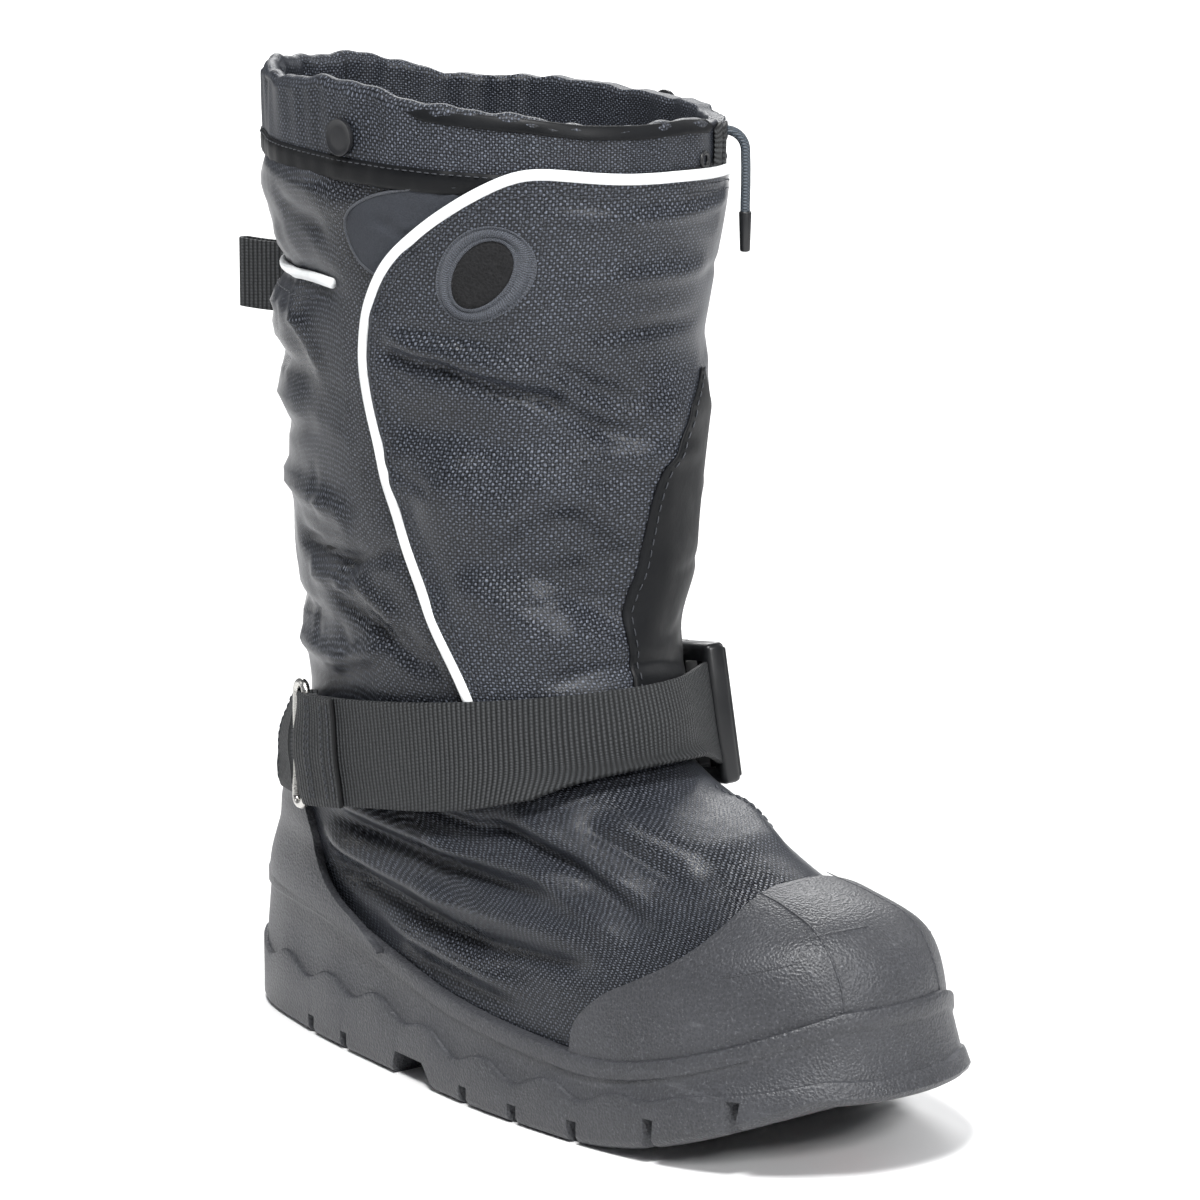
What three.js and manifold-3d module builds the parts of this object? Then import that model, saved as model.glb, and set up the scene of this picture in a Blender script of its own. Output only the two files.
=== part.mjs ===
// A right winter overshoe: rubber bottom, hollow fabric shaft, wrapped front flap and buckled instep strap.
// Units are millimetres. +X points to the toe, -Y to the outer side of the foot and +Z up.
// The origin is on the ground, at the middle of the heel.
import * as THREE from "three";
import { mergeVertices } from "three/addons/utils/BufferGeometryUtils.js";
import Module from "manifold-3d";

const wasm = await Module();
wasm.setup();
const { Manifold, Mesh } = wasm;

// Driving dimensions of the upper
const FOOT_LENGTH = 307;
const HEEL_REACH = 33; // how far the upper reaches behind the origin
const BALL_HALF_WIDTH = 55;
const FOOTBED_HEIGHT = 14;
const INSTEP_HEIGHT = 101; // where the vamp meets the shaft
const TOE_SPRING = 27;
const TOE_TURN_IN = 7; // how far the toe lies towards the inner side
const COLLAR_LENGTH = 174;
const COLLAR_REACH = 14; // how far the collar reaches behind the origin
const COLLAR_HALF_WIDTH = 70;
const BOOT_HEIGHT = 339; // collar at the back
const UPPER_WALL = 2.4;

// Driving dimensions of the rubber bottom
const SOLE_EDGE = 8; // how far the tread stands out beyond the upper
const TREAD_CHAMFER = 3;
const TOE_FLARE = 5;
const HEEL_FLARE = 3;
const HEEL_WALL = 52; // height of the rubber side wall at the heel
const WALL_STEP = 1.5; // how far each step of the side wall goes in
const BEAD_DROP = 6; // how far the wall's bead reaches below its top edge
const WAVE_HEIGHT = 2.6;
const WAVE_PITCH = 34;
const LUG_DEPTH = 7;
const GROOVE_WIDTH = 4.5;
const ARCH_RISE = 9;
const RUBBER_SKIN = 3.2;
const PLUG_RADIUS = 6;
const INSOLE_THICKNESS = 4;
const INSOLE_CLEARANCE = 2;

// Driving dimensions of what is sewn on
const GAP = 0.3;
const CUFF_DROP = 23;
const CUFF_INSIDE = 62;
const CUFF_SKIN = 1.5;
const RIM_FOLD = 4; // how far the collar's fold stands above the upper's edge
const RIM_ROUND = 0.4; // how much narrower the fold is at its top
const RIM_RIPPLE = 2.2;
const PATCH_SKIN = 1.4;
const FLAP_SKIN = 2.2;
const PIPING_WIDTH = 4;
const PIPING_SKIN = 3;
const BACK_PIPING_SHARE = 0.745; // height of the back piping on the shaft
const OVAL_WIDTH = 16;
const OVAL_HEIGHT = 30;
const OVAL_TILT = 0.4;
const OVAL_BORDER = 4.5;
const OVAL_SKIN = 1.2;
const WINDOW_PROUD = 0.8; // how far the window's pile stands into the flap
const SNAP_RADIUS = 6.3;
const SNAP_HEIGHT = 2;

// Driving dimensions of the strap and its hardware
const WEBBING_WIDTH = 38;
const WEBBING_SKIN = 2;
const STRAP_HEEL_HEIGHT = 105; // middle of the strap above the origin
const STRAP_SLOPE = 0.125;
const STRAP_CLEARANCE = 1.5; // how far the strap lies off the flap
const BUCKLE_LENGTH = 76;
const BUCKLE_WIDTH = 50;
const BUCKLE_THICKNESS = 11;
const BUCKLE_CORNER = 4;
const BUCKLE_BEVEL = 1.2;
const BUCKLE_CLEARANCE = 1.3; // how far the buckle's back lies off the upper where it bulges most
const PRONG_HALF_LENGTH = 0.3 * BUCKLE_LENGTH;
const SOCKET_LENGTH = BUCKLE_LENGTH - PRONG_HALF_LENGTH - GAP;
const SLOT_LENGTH = 9;
const SLOT_BAR = 3;
const SCOOP_RADIUS = 13;
const SCOOP_DEPTH = 6;
const RING_WIRE = 3.2;
const RING_LENGTH = 15;
const RING_CORNER = 4;
const RING_PLAY = 2; // how much wider the ring's opening is than the webbing
const RING_LIFT = 5;
const TAB_LENGTH = 22;
const TAB_WIDTH = 33;
const LOOP_WIDTH = 25;
const LOOP_LENGTH = 40;
const LOOP_SKIN = 1.6;
const LOOP_END_RADIUS = 3;
const LOOP_SEWN = 8; // length of the loop's closed part at the seam
const LOOP_DROOP = 0.35; // how far the loop hangs down, in radians
const CORD_DIAMETER = 3.4;
const TIP_LENGTH = 14;
const TIP_DIAMETER = 4.4;

// Where the hardware sits around the upper, as turns from the front
const OUTER_RING_TURN = -2.03;
const INNER_RING_TURN = 2.03;
const BUCKLE_FRONT_TURN = 0.8;
const FREE_TURN = 0.42; // how far from the buckle the strap leaves the upper

// Fineness of the faceted surfaces
const AROUND = 32;
const SOLE_AROUND = 72;
const STEPS_PER_SECTION = 1;

// Rows of the upper where what lies on it starts or ends
const CAP_TOP_ROW = 7;
const COUNTER_TOP_ROW = 11;
const SHAFT_ROW = 8;

// Sections of the foot. Lengths are shares of the foot's length, rises of the height from footbed to
// instep, half widths of the ball's half width. spring is the share of the toe spring that the section
// follows.
const FOOT_SECTIONS = [
  { front: 0.994, frontRise: 0.0, back: 0.01, backRise: 0.0, out: 1.0, in: 0.96,
    widest: 0.68, blunt: 2.4, waist: 0.12, spring: 1, turnIn: 1 },
  { front: 1.0, frontRise: 0.19, back: 0.0, backRise: 0.18, out: 1.02, in: 0.98,
    widest: 0.66, blunt: 2.4, waist: 0.1, spring: 0.9, turnIn: 1 },
  { front: 0.99, frontRise: 0.37, back: 0.0, backRise: 0.345, out: 1.0, in: 0.96,
    widest: 0.64, blunt: 2.3, waist: 0.08, spring: 0.75, turnIn: 1 },
  { front: 0.961, frontRise: 0.55, back: 0.004, backRise: 0.494, out: 0.97, in: 0.93,
    widest: 0.6, blunt: 2.2, waist: 0.05, spring: 0.55, turnIn: 0.95 },
  { front: 0.906, frontRise: 0.697, back: 0.01, backRise: 0.62, out: 0.935, in: 0.9,
    widest: 0.56, blunt: 2.1, waist: 0.02, spring: 0.35, turnIn: 0.9 },
  { front: 0.842, frontRise: 0.8, back: 0.017, backRise: 0.724, out: 0.91, in: 0.875,
    widest: 0.53, blunt: 2.1, waist: 0, spring: 0.2, turnIn: 0.8 },
  { front: 0.786, frontRise: 0.9, back: 0.025, backRise: 0.816, out: 0.9, in: 0.87,
    widest: 0.52, blunt: 2.1, waist: 0, spring: 0.1, turnIn: 0.65 },
  { front: 0.722, frontRise: 1.0, back: 0.032, backRise: 0.897, out: 0.9, in: 0.87,
    widest: 0.51, blunt: 2.3, waist: 0, spring: 0, turnIn: 0.5 },
  { front: 0.668, frontRise: 1.07, back: 0.048, backRise: 0.977, out: 0.9, in: 0.87,
    widest: 0.5, blunt: 2.3, waist: 0, spring: 0, turnIn: 0.3 },
  { front: 0.618, frontRise: 1.17, back: 0.062, backRise: 1.07, out: 0.905, in: 0.88,
    widest: 0.5, blunt: 2.3, waist: 0, spring: 0, turnIn: 0.1 },
];

// Sections of the shaft. Lengths are shares of the collar's length, rises of the height from instep to
// collar, half widths of the collar's half width.
const SHAFT_SECTIONS = [
  { front: 0.960, frontRise: 0.129, back: 0.040, backRise: 0.086, out: 0.707, in: 0.700 },
  { front: 0.926, frontRise: 0.215, back: 0.034, backRise: 0.172, out: 0.721, in: 0.721 },
  { front: 0.903, frontRise: 0.352, back: 0.023, backRise: 0.305, out: 0.764, in: 0.771 },
  { front: 0.915, frontRise: 0.528, back: 0.017, backRise: 0.498, out: 0.829, in: 0.850 },
  { front: 0.960, frontRise: 0.734, back: 0.011, backRise: 0.708, out: 0.907, in: 0.943 },
  { front: 0.994, frontRise: 0.876, back: 0.000, backRise: 0.897, out: 0.950, in: 1.000 },
  { front: 1.000, frontRise: 0.970, back: 0.000, backRise: 1.000, out: 0.957, in: 1.014 },
];

// The side wall of the sole. at is the share of the sole's length from the heel, rim and wave are shares
// of the wall's height at the heel: its top edge and the foot of its wavy step.
const WALL_STATIONS = [
  { at: 0.0, rim: 0.98, wave: 0.42 },
  { at: 0.2, rim: 0.98, wave: 0.42 },
  { at: 0.29, rim: 0.91, wave: 0.43 },
  { at: 0.38, rim: 0.8, wave: 0.42 },
  { at: 0.46, rim: 0.7, wave: 0.34 },
  { at: 0.57, rim: 0.63, wave: 0.3 },
  { at: 0.71, rim: 0.58, wave: 0.33 },
  { at: 0.85, rim: 0.57, wave: 0.33 },
  { at: 0.93, rim: 0.575, wave: 0.28 },
  { at: 1.0, rim: 0.6, wave: 0.22 },
];

const RUBBER = { color: 0x35383b, roughness: 0.62 };
const SHAFT_CLOTH = { color: 0x1b1d20, roughness: 0.5 };
const FLAP_CLOTH = { color: 0x202327, roughness: 0.5 };
const LINING = { color: 0x17181a, roughness: 0.8 };
const REFLECTIVE = { color: 0xe9ecec, roughness: 0.45 };
const WEBBING = { color: 0x222325, roughness: 0.75 };
const PLASTIC = { color: 0x26282b, roughness: 0.4 };
const STEEL = { color: 0xb9b9b6, roughness: 0.3, metalness: 1 };
const FLEECE = { color: 0x101112, roughness: 0.95 };
const HOOK_TAPE = { color: 0x4a4d51, roughness: 0.7 };
const GRIP_RED = { color: 0xc23a3a, roughness: 0.6 };
const CORD = { color: 0x4b525a, roughness: 0.6 };

// Interpolates every column of a table between its rows, at row number place.
function between(rows, place) {
  const last = rows.length - 1;
  const i = Math.min(last - 1, Math.max(0, Math.floor(place)));
  const f = place - i;
  const before = rows[Math.max(0, i - 1)];
  const after = rows[Math.min(last, i + 2)];
  const mixed = {};
  for (const column of Object.keys(rows[i])) {
    const a = rows[i][column];
    const b = rows[i + 1][column];
    const slopeA = (b - before[column]) / (i > 0 ? 2 : 1);
    const slopeB = (after[column] - a) / (i < last - 1 ? 2 : 1);
    const bend = f * f * (3 - 2 * f);
    mixed[column] = a + (b - a) * bend + slopeA * f * (1 - f) * (1 - f) - slopeB * f * f * (1 - f);
  }
  return mixed;
}

function clamp(value) {
  return Math.min(1, Math.max(0, value));
}

function smooth(value) {
  const share = clamp(value);
  return share * share * (3 - 2 * share);
}

function spread(from, to, steps) {
  return Array.from({ length: steps + 1 }, (_, i) => from + (i * (to - from)) / steps);
}

// The sections of the whole upper in millimetres, from the feather edge to the collar.
function upperSections() {
  const rise = INSTEP_HEIGHT - FOOTBED_HEIGHT;
  const foot = FOOT_SECTIONS.map((s) => ({
    frontX: s.front * FOOT_LENGTH - HEEL_REACH,
    frontZ: FOOTBED_HEIGHT + s.frontRise * rise,
    backX: s.back * FOOT_LENGTH - HEEL_REACH,
    backZ: FOOTBED_HEIGHT + s.backRise * rise,
    out: s.out * BALL_HALF_WIDTH,
    in: s.in * BALL_HALF_WIDTH,
    widest: s.widest,
    blunt: s.blunt,
    waist: s.waist,
    spring: s.spring,
    turnIn: s.turnIn,
  }));
  const height = BOOT_HEIGHT - INSTEP_HEIGHT;
  const shaft = SHAFT_SECTIONS.map((s) => ({
    frontX: s.front * COLLAR_LENGTH - COLLAR_REACH,
    frontZ: INSTEP_HEIGHT + s.frontRise * height,
    backX: s.back * COLLAR_LENGTH - COLLAR_REACH,
    backZ: INSTEP_HEIGHT + s.backRise * height,
    out: s.out * COLLAR_HALF_WIDTH,
    in: s.in * COLLAR_HALF_WIDTH,
    widest: 0.5,
    blunt: 2.1,
    waist: 0,
    spring: 0,
    turnIn: 0,
  }));
  return [...foot, ...shaft];
}

const SECTIONS = upperSections();
const COLLAR = SECTIONS.length - 1; // row number of the collar
const TOE_X = SECTIONS[1].frontX;
const SPRING_START = TOE_X - 0.3 * FOOT_LENGTH;

function springAt(x) {
  return TOE_SPRING * Math.pow(clamp((x - SPRING_START) / (TOE_X - SPRING_START)), 1.7);
}

// A point of the upper's outer surface. turn runs from 0 at the front to +-PI at the back, and is
// positive on the inner side of the foot. place is the row number.
function skinPoint(turn, place) {
  const s = between(SECTIONS, place);
  const ahead = Math.cos(turn) > 0;
  const reach = Math.pow(Math.abs(Math.cos(turn)), 2 / s.blunt);
  const share = s.widest + (ahead ? (1 - s.widest) * reach : -s.widest * reach);
  const half = turn > 0 ? s.in : s.out;
  const pinch = 1 - s.waist * Math.exp(-Math.pow((share - 0.36) / 0.16, 2));
  const heel = 1 - 1.1 * s.waist * smooth((0.42 - share) / 0.3);
  const y = Math.sign(turn) * half * Math.pow(Math.abs(Math.sin(turn)), 2 / s.blunt) * pinch * heel;
  const x = s.backX + share * (s.frontX - s.backX);
  const aside = s.turnIn * TOE_TURN_IN * smooth((share - 0.3) / 0.6);
  const z = s.backZ + share * (s.frontZ - s.backZ) + s.spring * springAt(x);
  return new THREE.Vector3(x, y + aside, z);
}

function skinNormal(turn, place) {
  const step = 0.02;
  const round = skinPoint(turn + step, place).sub(skinPoint(turn - step, place));
  const up = skinPoint(turn, Math.min(COLLAR, place + step)).sub(skinPoint(turn, Math.max(0, place - step)));
  return round.cross(up).normalize();
}

// A point at a height above the upper's surface.
function lifted(turn, place, lift) {
  return skinPoint(turn, place).addScaledVector(skinNormal(turn, place), lift);
}

function turns(count) {
  return Array.from({ length: count }, (_, i) => -Math.PI + ((i + 0.5) * 2 * Math.PI) / count);
}

// The row number where the surface at a turn crosses a height that depends on x.
function placeAt(turn, heightOf) {
  let low = 0;
  let high = COLLAR;
  for (let i = 0; i < 40; i++) {
    const middle = (low + high) / 2;
    const p = skinPoint(turn, middle);
    if (p.z < heightOf(p.x)) low = middle;
    else high = middle;
  }
  return (low + high) / 2;
}

// The turn and row number of the surface point at side-view x and z. side is -1 outer, 1 inner.
function find(side, x, z) {
  let near = 0.001;
  let far = Math.PI - 0.001;
  for (let i = 0; i < 40; i++) {
    const middle = (near + far) / 2;
    if (skinPoint(side * middle, placeAt(side * middle, () => z)).x > x) near = middle;
    else far = middle;
  }
  const turn = (side * (near + far)) / 2;
  return { turn, place: placeAt(turn, () => z) };
}

// A closed solid through loops with equal counts of points. Without joined its ends are closed by
// a ladder between the two halves of the first and last loop. From loop number turned on, the loops
// run downwards and their facets are split the other way, to stay parallel to those running upwards.
function loft(loops, joined = false, turned = loops.length) {
  const count = loops[0].length;
  const vertices = loops.flat().flatMap((p) => [p.x, p.y, p.z]);
  const triangles = [];
  const quad = (a, b, c, d) => triangles.push([a, b, c], [a, c, d]);
  for (let j = 0; j < loops.length - (joined ? 0 : 1); j++) {
    const here = j * count;
    const next = ((j + 1) % loops.length) * count;
    for (let i = 0; i < count; i++) {
      const k = (i + 1) % count;
      if (j < turned) quad(here + i, here + k, next + k, next + i);
      else quad(here + k, next + k, next + i, here + i);
    }
  }
  if (!joined) {
    const top = (loops.length - 1) * count;
    for (let i = 0; i < count / 2 - 1; i++) {
      const k = count - 1 - i;
      quad(i, k, k - 1, i + 1);
      quad(top + i, top + i + 1, top + k - 1, top + k);
    }
  }
  const at = (i) => new THREE.Vector3(...vertices.slice(3 * i, 3 * i + 3));
  let volume = 0;
  for (const [a, b, c] of triangles) volume += at(a).dot(at(b).cross(at(c)));
  const facing = volume < 0 ? triangles.map(([a, b, c]) => [a, c, b]) : triangles;
  return new Manifold(
    new Mesh({
      numProp: 3,
      vertProperties: new Float32Array(vertices),
      triVerts: new Uint32Array(facing.flat()),
    }),
  );
}

function solidOf(geometry) {
  const bare = geometry.clone();
  bare.deleteAttribute("normal");
  bare.deleteAttribute("uv");
  const merged = mergeVertices(bare, 1e-4);
  return new Manifold(
    new Mesh({
      numProp: 3,
      vertProperties: new Float32Array(merged.attributes.position.array),
      triVerts: new Uint32Array(merged.index.array),
    }),
  );
}

function geometryOf(solid) {
  const mesh = solid.getMesh();
  const geometry = new THREE.BufferGeometry();
  geometry.setAttribute("position", new THREE.BufferAttribute(mesh.vertProperties, 3));
  geometry.setIndex(new THREE.BufferAttribute(mesh.triVerts, 1));
  geometry.computeVertexNormals();
  return geometry;
}

function meshOf(name, geometry, finish) {
  const mesh = new THREE.Mesh(geometry, new THREE.MeshStandardMaterial(finish));
  mesh.name = name;
  return mesh;
}

// A block with the side-view outline, from one y to another.
function sideBlock(outline, fromY, toY) {
  const shape = new THREE.Shape(outline.map(([x, z]) => new THREE.Vector2(x, z)));
  const block = new THREE.ExtrudeGeometry(shape, { depth: toY - fromY, bevelEnabled: false });
  return solidOf(block.rotateX(Math.PI / 2).translate(0, toY, 0));
}

const FAR = 2 * FOOT_LENGTH; // beyond every side of the boot

// A ring of cloth or rubber around the upper, from one row to another and one lift to another.
function sleeve(fromPlace, toPlace, inner, outer) {
  const steps = Math.max(1, Math.round((toPlace - fromPlace) * STEPS_PER_SECTION));
  const places = spread(fromPlace, toPlace, steps);
  const outside = places.map((place) => turns(AROUND).map((turn) => lifted(turn, place, outer)));
  const inside = places.map((place) => turns(AROUND).map((turn) => lifted(turn, place, inner)));
  return loft([...outside, ...inside.reverse()], true, outside.length);
}

// The closed form of the upper at a lift, which runs on past both ends.
function fullForm(lift, below, above) {
  const places = spread(0, COLLAR, COLLAR * STEPS_PER_SECTION);
  const loops = places.map((place) => turns(AROUND).map((turn) => lifted(turn, place, lift)));
  const shifted = (loop, dz) => loop.map((p) => new THREE.Vector3(p.x, p.y, p.z + dz));
  loops[0] = shifted(loops[0], -below);
  loops.push(shifted(loops[loops.length - 1], above));
  return loft(loops);
}

// A side-view point on the shaft, from shares of the collar's length and of the shaft's height.
function onShaft(along, rise) {
  return [
    along * COLLAR_LENGTH - COLLAR_REACH,
    INSTEP_HEIGHT + rise * (BOOT_HEIGHT - INSTEP_HEIGHT),
  ];
}

// A side-view point on the foot, from shares of its length and of the height from footbed to instep.
function onFoot(along, rise) {
  return [along * FOOT_LENGTH - HEEL_REACH, FOOTBED_HEIGHT + rise * (INSTEP_HEIGHT - FOOTBED_HEIGHT)];
}

function curveThrough(points, steps) {
  const curve = new THREE.SplineCurve(points.map(([x, z]) => new THREE.Vector2(x, z)));
  return curve.getPoints(steps).map((p) => [p.x, p.y]);
}

// Moves a side-view line to its left by a distance.
function besides(line, distance) {
  return line.map(([x, z], i) => {
    const [ax, az] = line[Math.max(0, i - 1)];
    const [bx, bz] = line[Math.min(line.length - 1, i + 1)];
    const length = Math.hypot(bx - ax, bz - az);
    return [x - ((bz - az) / length) * distance, z + ((bx - ax) / length) * distance];
  });
}

// Sole: its outline follows the feather edge of the upper
const SOLE_BACK = SECTIONS[0].backX - SOLE_EDGE - HEEL_FLARE;
const SOLE_FRONT = SECTIONS[0].frontX + SOLE_EDGE + TOE_FLARE;
const SOLE_LENGTH = SOLE_FRONT - SOLE_BACK;

// Height of the tread above the ground: toe spring in front and a bevel behind.
function treadHeight(x) {
  const bevel = clamp((SOLE_BACK + 0.05 * SOLE_LENGTH - x) / (0.05 * SOLE_LENGTH));
  return springAt(x) + 0.6 * LUG_DEPTH * bevel * bevel;
}

function wallAt(x) {
  const share = clamp((x - SOLE_BACK) / SOLE_LENGTH);
  const i = Math.min(
    WALL_STATIONS.length - 2,
    WALL_STATIONS.findLastIndex((s) => s.at <= share),
  );
  const a = WALL_STATIONS[i];
  const b = WALL_STATIONS[i + 1];
  const place = i + (share - a.at) / (b.at - a.at);
  const { rim, wave } = between(WALL_STATIONS, place);
  return { rim: rim * HEEL_WALL, wave: wave * HEEL_WALL };
}

function rimHeight(x) {
  return springAt(x) + wallAt(x).rim;
}

function waveHeight(x) {
  const calm = 1 - smooth((x - SPRING_START) / (0.2 * FOOT_LENGTH));
  const ripple = Math.sin((2 * Math.PI * (x - SOLE_BACK)) / WAVE_PITCH);
  return springAt(x) + wallAt(x).wave + WAVE_HEIGHT * calm * ripple;
}

// A loop around the sole at an offset from the feather edge.
function soleLoop(offset, heightOf) {
  return turns(SOLE_AROUND).map((even) => {
    const turn = even + 0.22 * Math.sin(2 * even);
    const p = skinPoint(turn, 0);
    const ahead = skinPoint(turn + 0.02, 0).sub(skinPoint(turn - 0.02, 0));
    const outward = new THREE.Vector3(ahead.y, -ahead.x, 0).normalize();
    const toe = TOE_FLARE * smooth((p.x - SPRING_START) / (TOE_X - SPRING_START));
    const heel = HEEL_FLARE * smooth((0.15 * FOOT_LENGTH - HEEL_REACH - p.x) / (0.15 * FOOT_LENGTH));
    p.addScaledVector(outward, offset + toe + heel);
    p.z = heightOf(p.x);
    return p;
  });
}

function soleBlank() {
  const bead = SOLE_EDGE - 1.4 * WALL_STEP;
  return loft([
    soleLoop(SOLE_EDGE - TREAD_CHAMFER, treadHeight),
    soleLoop(SOLE_EDGE, (x) => treadHeight(x) + TREAD_CHAMFER),
    soleLoop(SOLE_EDGE, waveHeight),
    soleLoop(SOLE_EDGE - WALL_STEP, (x) => waveHeight(x) + WALL_STEP),
    soleLoop(SOLE_EDGE - 2 * WALL_STEP, (x) => rimHeight(x) - BEAD_DROP - WALL_STEP),
    soleLoop(bead, (x) => rimHeight(x) - BEAD_DROP),
    soleLoop(bead, (x) => rimHeight(x) - WALL_STEP),
    soleLoop(bead - WALL_STEP, rimHeight),
  ]);
}

// Where the cross grooves open on the side of the sole, as shares of its length.
const GROOVES = [0.19, 0.268, 0.518, 0.603, 0.695, 0.8, 0.89];
const ARCH_SHARE = 0.418;
const ARCH_HALF_SHARE = 0.045;
const CHEVRON = 0.2; // slant of the cross grooves

function grooveX(share) {
  return SOLE_BACK + share * SOLE_LENGTH;
}

// A cross groove in the shape of a wide chevron that points forward.
function groove(share) {
  const x = grooveX(share) + CHEVRON * BALL_HALF_WIDTH;
  const depth = treadHeight(x) + LUG_DEPTH;
  const halves = [-1, 1].map((side) => {
    const box = new THREE.BoxGeometry(GROOVE_WIDTH, 2 * BALL_HALF_WIDTH, 2 * depth);
    box.translate(0, side * BALL_HALF_WIDTH, 0);
    return solidOf(box.rotateZ(side * CHEVRON).translate(x, 0, 0));
  });
  return halves[0].add(halves[1]);
}

// Long grooves that part the middle lugs from the side lugs.
function longGroove(fromShare, toShare, y) {
  const from = grooveX(fromShare);
  const to = grooveX(toShare);
  const bed = spread(to, from, 8).map((x) => [x, treadHeight(x) + LUG_DEPTH]);
  const outline = [[from, -LUG_DEPTH], [to, -LUG_DEPTH], ...bed];
  return sideBlock(outline, y - GROOVE_WIDTH / 2, y + GROOVE_WIDTH / 2);
}

const PLUGS = [0.19, 0.518, 0.695, 0.89];
const PLUG_INSET = 1; // how far the plugs lie back from the lugs

function plugPlace(share) {
  const x = grooveX(share) + CHEVRON * BALL_HALF_WIDTH;
  return new THREE.Vector3(x, 0, treadHeight(x) + LUG_DEPTH / 2);
}

function plugGeometry(radius, height) {
  return new THREE.CylinderGeometry(radius, radius, height, 12).rotateX(Math.PI / 2);
}

function outsole() {
  let sole = soleBlank().subtract(fullForm(GAP, GAP, FAR));
  const x = grooveX(ARCH_SHARE);
  const half = ARCH_HALF_SHARE * SOLE_LENGTH;
  const arch = [
    [x - half, -1],
    [x - 0.8 * half, ARCH_RISE],
    [x + 0.4 * half, ARCH_RISE],
    [x + half, -1],
  ];
  sole = sole.subtract(sideBlock(arch, -FAR, FAR));
  for (const share of GROOVES) sole = sole.subtract(groove(share));
  const halfWidth = 0.36 * BALL_HALF_WIDTH;
  for (const side of [-1, 1]) {
    sole = sole.subtract(longGroove(GROOVES[0], GROOVES[1], side * halfWidth));
    sole = sole.subtract(longGroove(GROOVES[2], GROOVES[6], side * halfWidth));
  }
  for (const share of PLUGS) {
    const p = plugPlace(share);
    const height = 2 * LUG_DEPTH + 2 * GAP;
    const pocket = plugGeometry(PLUG_RADIUS + GAP, height).translate(p.x, p.y, p.z - LUG_DEPTH / 2 + GAP);
    sole = sole.subtract(solidOf(pocket));
  }
  return meshOf("outsole", geometryOf(sole), RUBBER);
}

function gripPlugs() {
  return PLUGS.map((share, i) => {
    const mesh = meshOf(`grip_plug_${i + 1}`, plugGeometry(PLUG_RADIUS, LUG_DEPTH - PLUG_INSET), GRIP_RED);
    mesh.position.copy(plugPlace(share));
    mesh.position.z += PLUG_INSET / 2;
    return mesh;
  });
}

// The rim line in side view, as the lower edge of the rubber toe cap and counter.
function rimLine(fromX, toX, steps) {
  return spread(fromX, toX, steps).map((x) => [x, rimHeight(x) + 2 * GAP]);
}

// Rear edge of the toe cap, from the rim up over the ridge.
const CAP_EDGE = [
  onFoot(0.693, 0.184),
  onFoot(0.699, 0.310),
  onFoot(0.731, 0.425),
  onFoot(0.773, 0.506),
  onFoot(0.809, 0.575),
  onFoot(0.838, 0.655),
  onFoot(0.848, 0.747),
  onFoot(0.841, 0.839),
  onFoot(0.835, 0.966),
  onFoot(0.835, 1.218),
];

function toeCap() {
  const edge = curveThrough(CAP_EDGE, 14).filter(([x, z]) => z > rimHeight(x) + 3 * GAP);
  const from = edge[0][0];
  const ridge = edge[edge.length - 1];
  const rim = rimLine(from, SOLE_FRONT + SOLE_EDGE, 20);
  const outline = [...rim, [SOLE_FRONT + SOLE_EDGE, ridge[1]], ...edge.reverse().slice(0, -1)];
  const shell = sleeve(0, CAP_TOP_ROW, GAP, RUBBER_SKIN + GAP);
  return meshOf("toe_cap", geometryOf(shell.intersect(sideBlock(outline, -FAR, FAR))), RUBBER);
}

// Front edge of the heel counter, from its top down to the rim.
const COUNTER_EDGE = [
  onFoot(0.084, 1.126),
  onFoot(0.146, 0.920),
  onFoot(0.184, 0.747),
  onFoot(0.194, 0.632),
  onFoot(0.217, 0.540),
  onFoot(0.252, 0.471),
  onFoot(0.307, 0.402),
  onFoot(0.366, 0.299),
];

function heelCounter() {
  const edge = curveThrough(COUNTER_EDGE, 10).filter(([x, z]) => z > rimHeight(x) + 3 * GAP);
  const end = edge[edge.length - 1][0];
  const behind = SOLE_BACK - SOLE_EDGE;
  const outline = [...rimLine(behind, end, 8), ...edge.reverse(), [behind, edge[edge.length - 1][1]]];
  const shell = sleeve(0, COUNTER_TOP_ROW, GAP, RUBBER_SKIN + GAP);
  return meshOf("heel_counter", geometryOf(shell.intersect(sideBlock(outline, -FAR, FAR))), RUBBER);
}

function upper() {
  return meshOf("upper", geometryOf(sleeve(0, COLLAR, -UPPER_WALL, 0)), SHAFT_CLOTH);
}

function insole() {
  const inset = UPPER_WALL + INSOLE_CLEARANCE;
  const ring = (dz) =>
    turns(AROUND).map((turn) => {
      const p = lifted(turn, 0.3, -inset);
      p.z = skinPoint(turn, 0).z + dz;
      return p;
    });
  return meshOf("insole", geometryOf(loft([ring(GAP), ring(GAP + INSOLE_THICKNESS)])), LINING);
}

// The snow collar, turned down over the rim: a long skirt inside, a short cuff outside.
const CUFF_BOTTOM = placeAt(Math.PI / 2, () => BOOT_HEIGHT - CUFF_DROP);
const CUFF_INNER_BOTTOM = placeAt(Math.PI / 2, () => BOOT_HEIGHT - CUFF_INSIDE);

function ripple(turn) {
  return RIM_RIPPLE * (0.6 * Math.sin(7 * turn) + 0.4 * Math.sin(4 * turn + 1));
}

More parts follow.
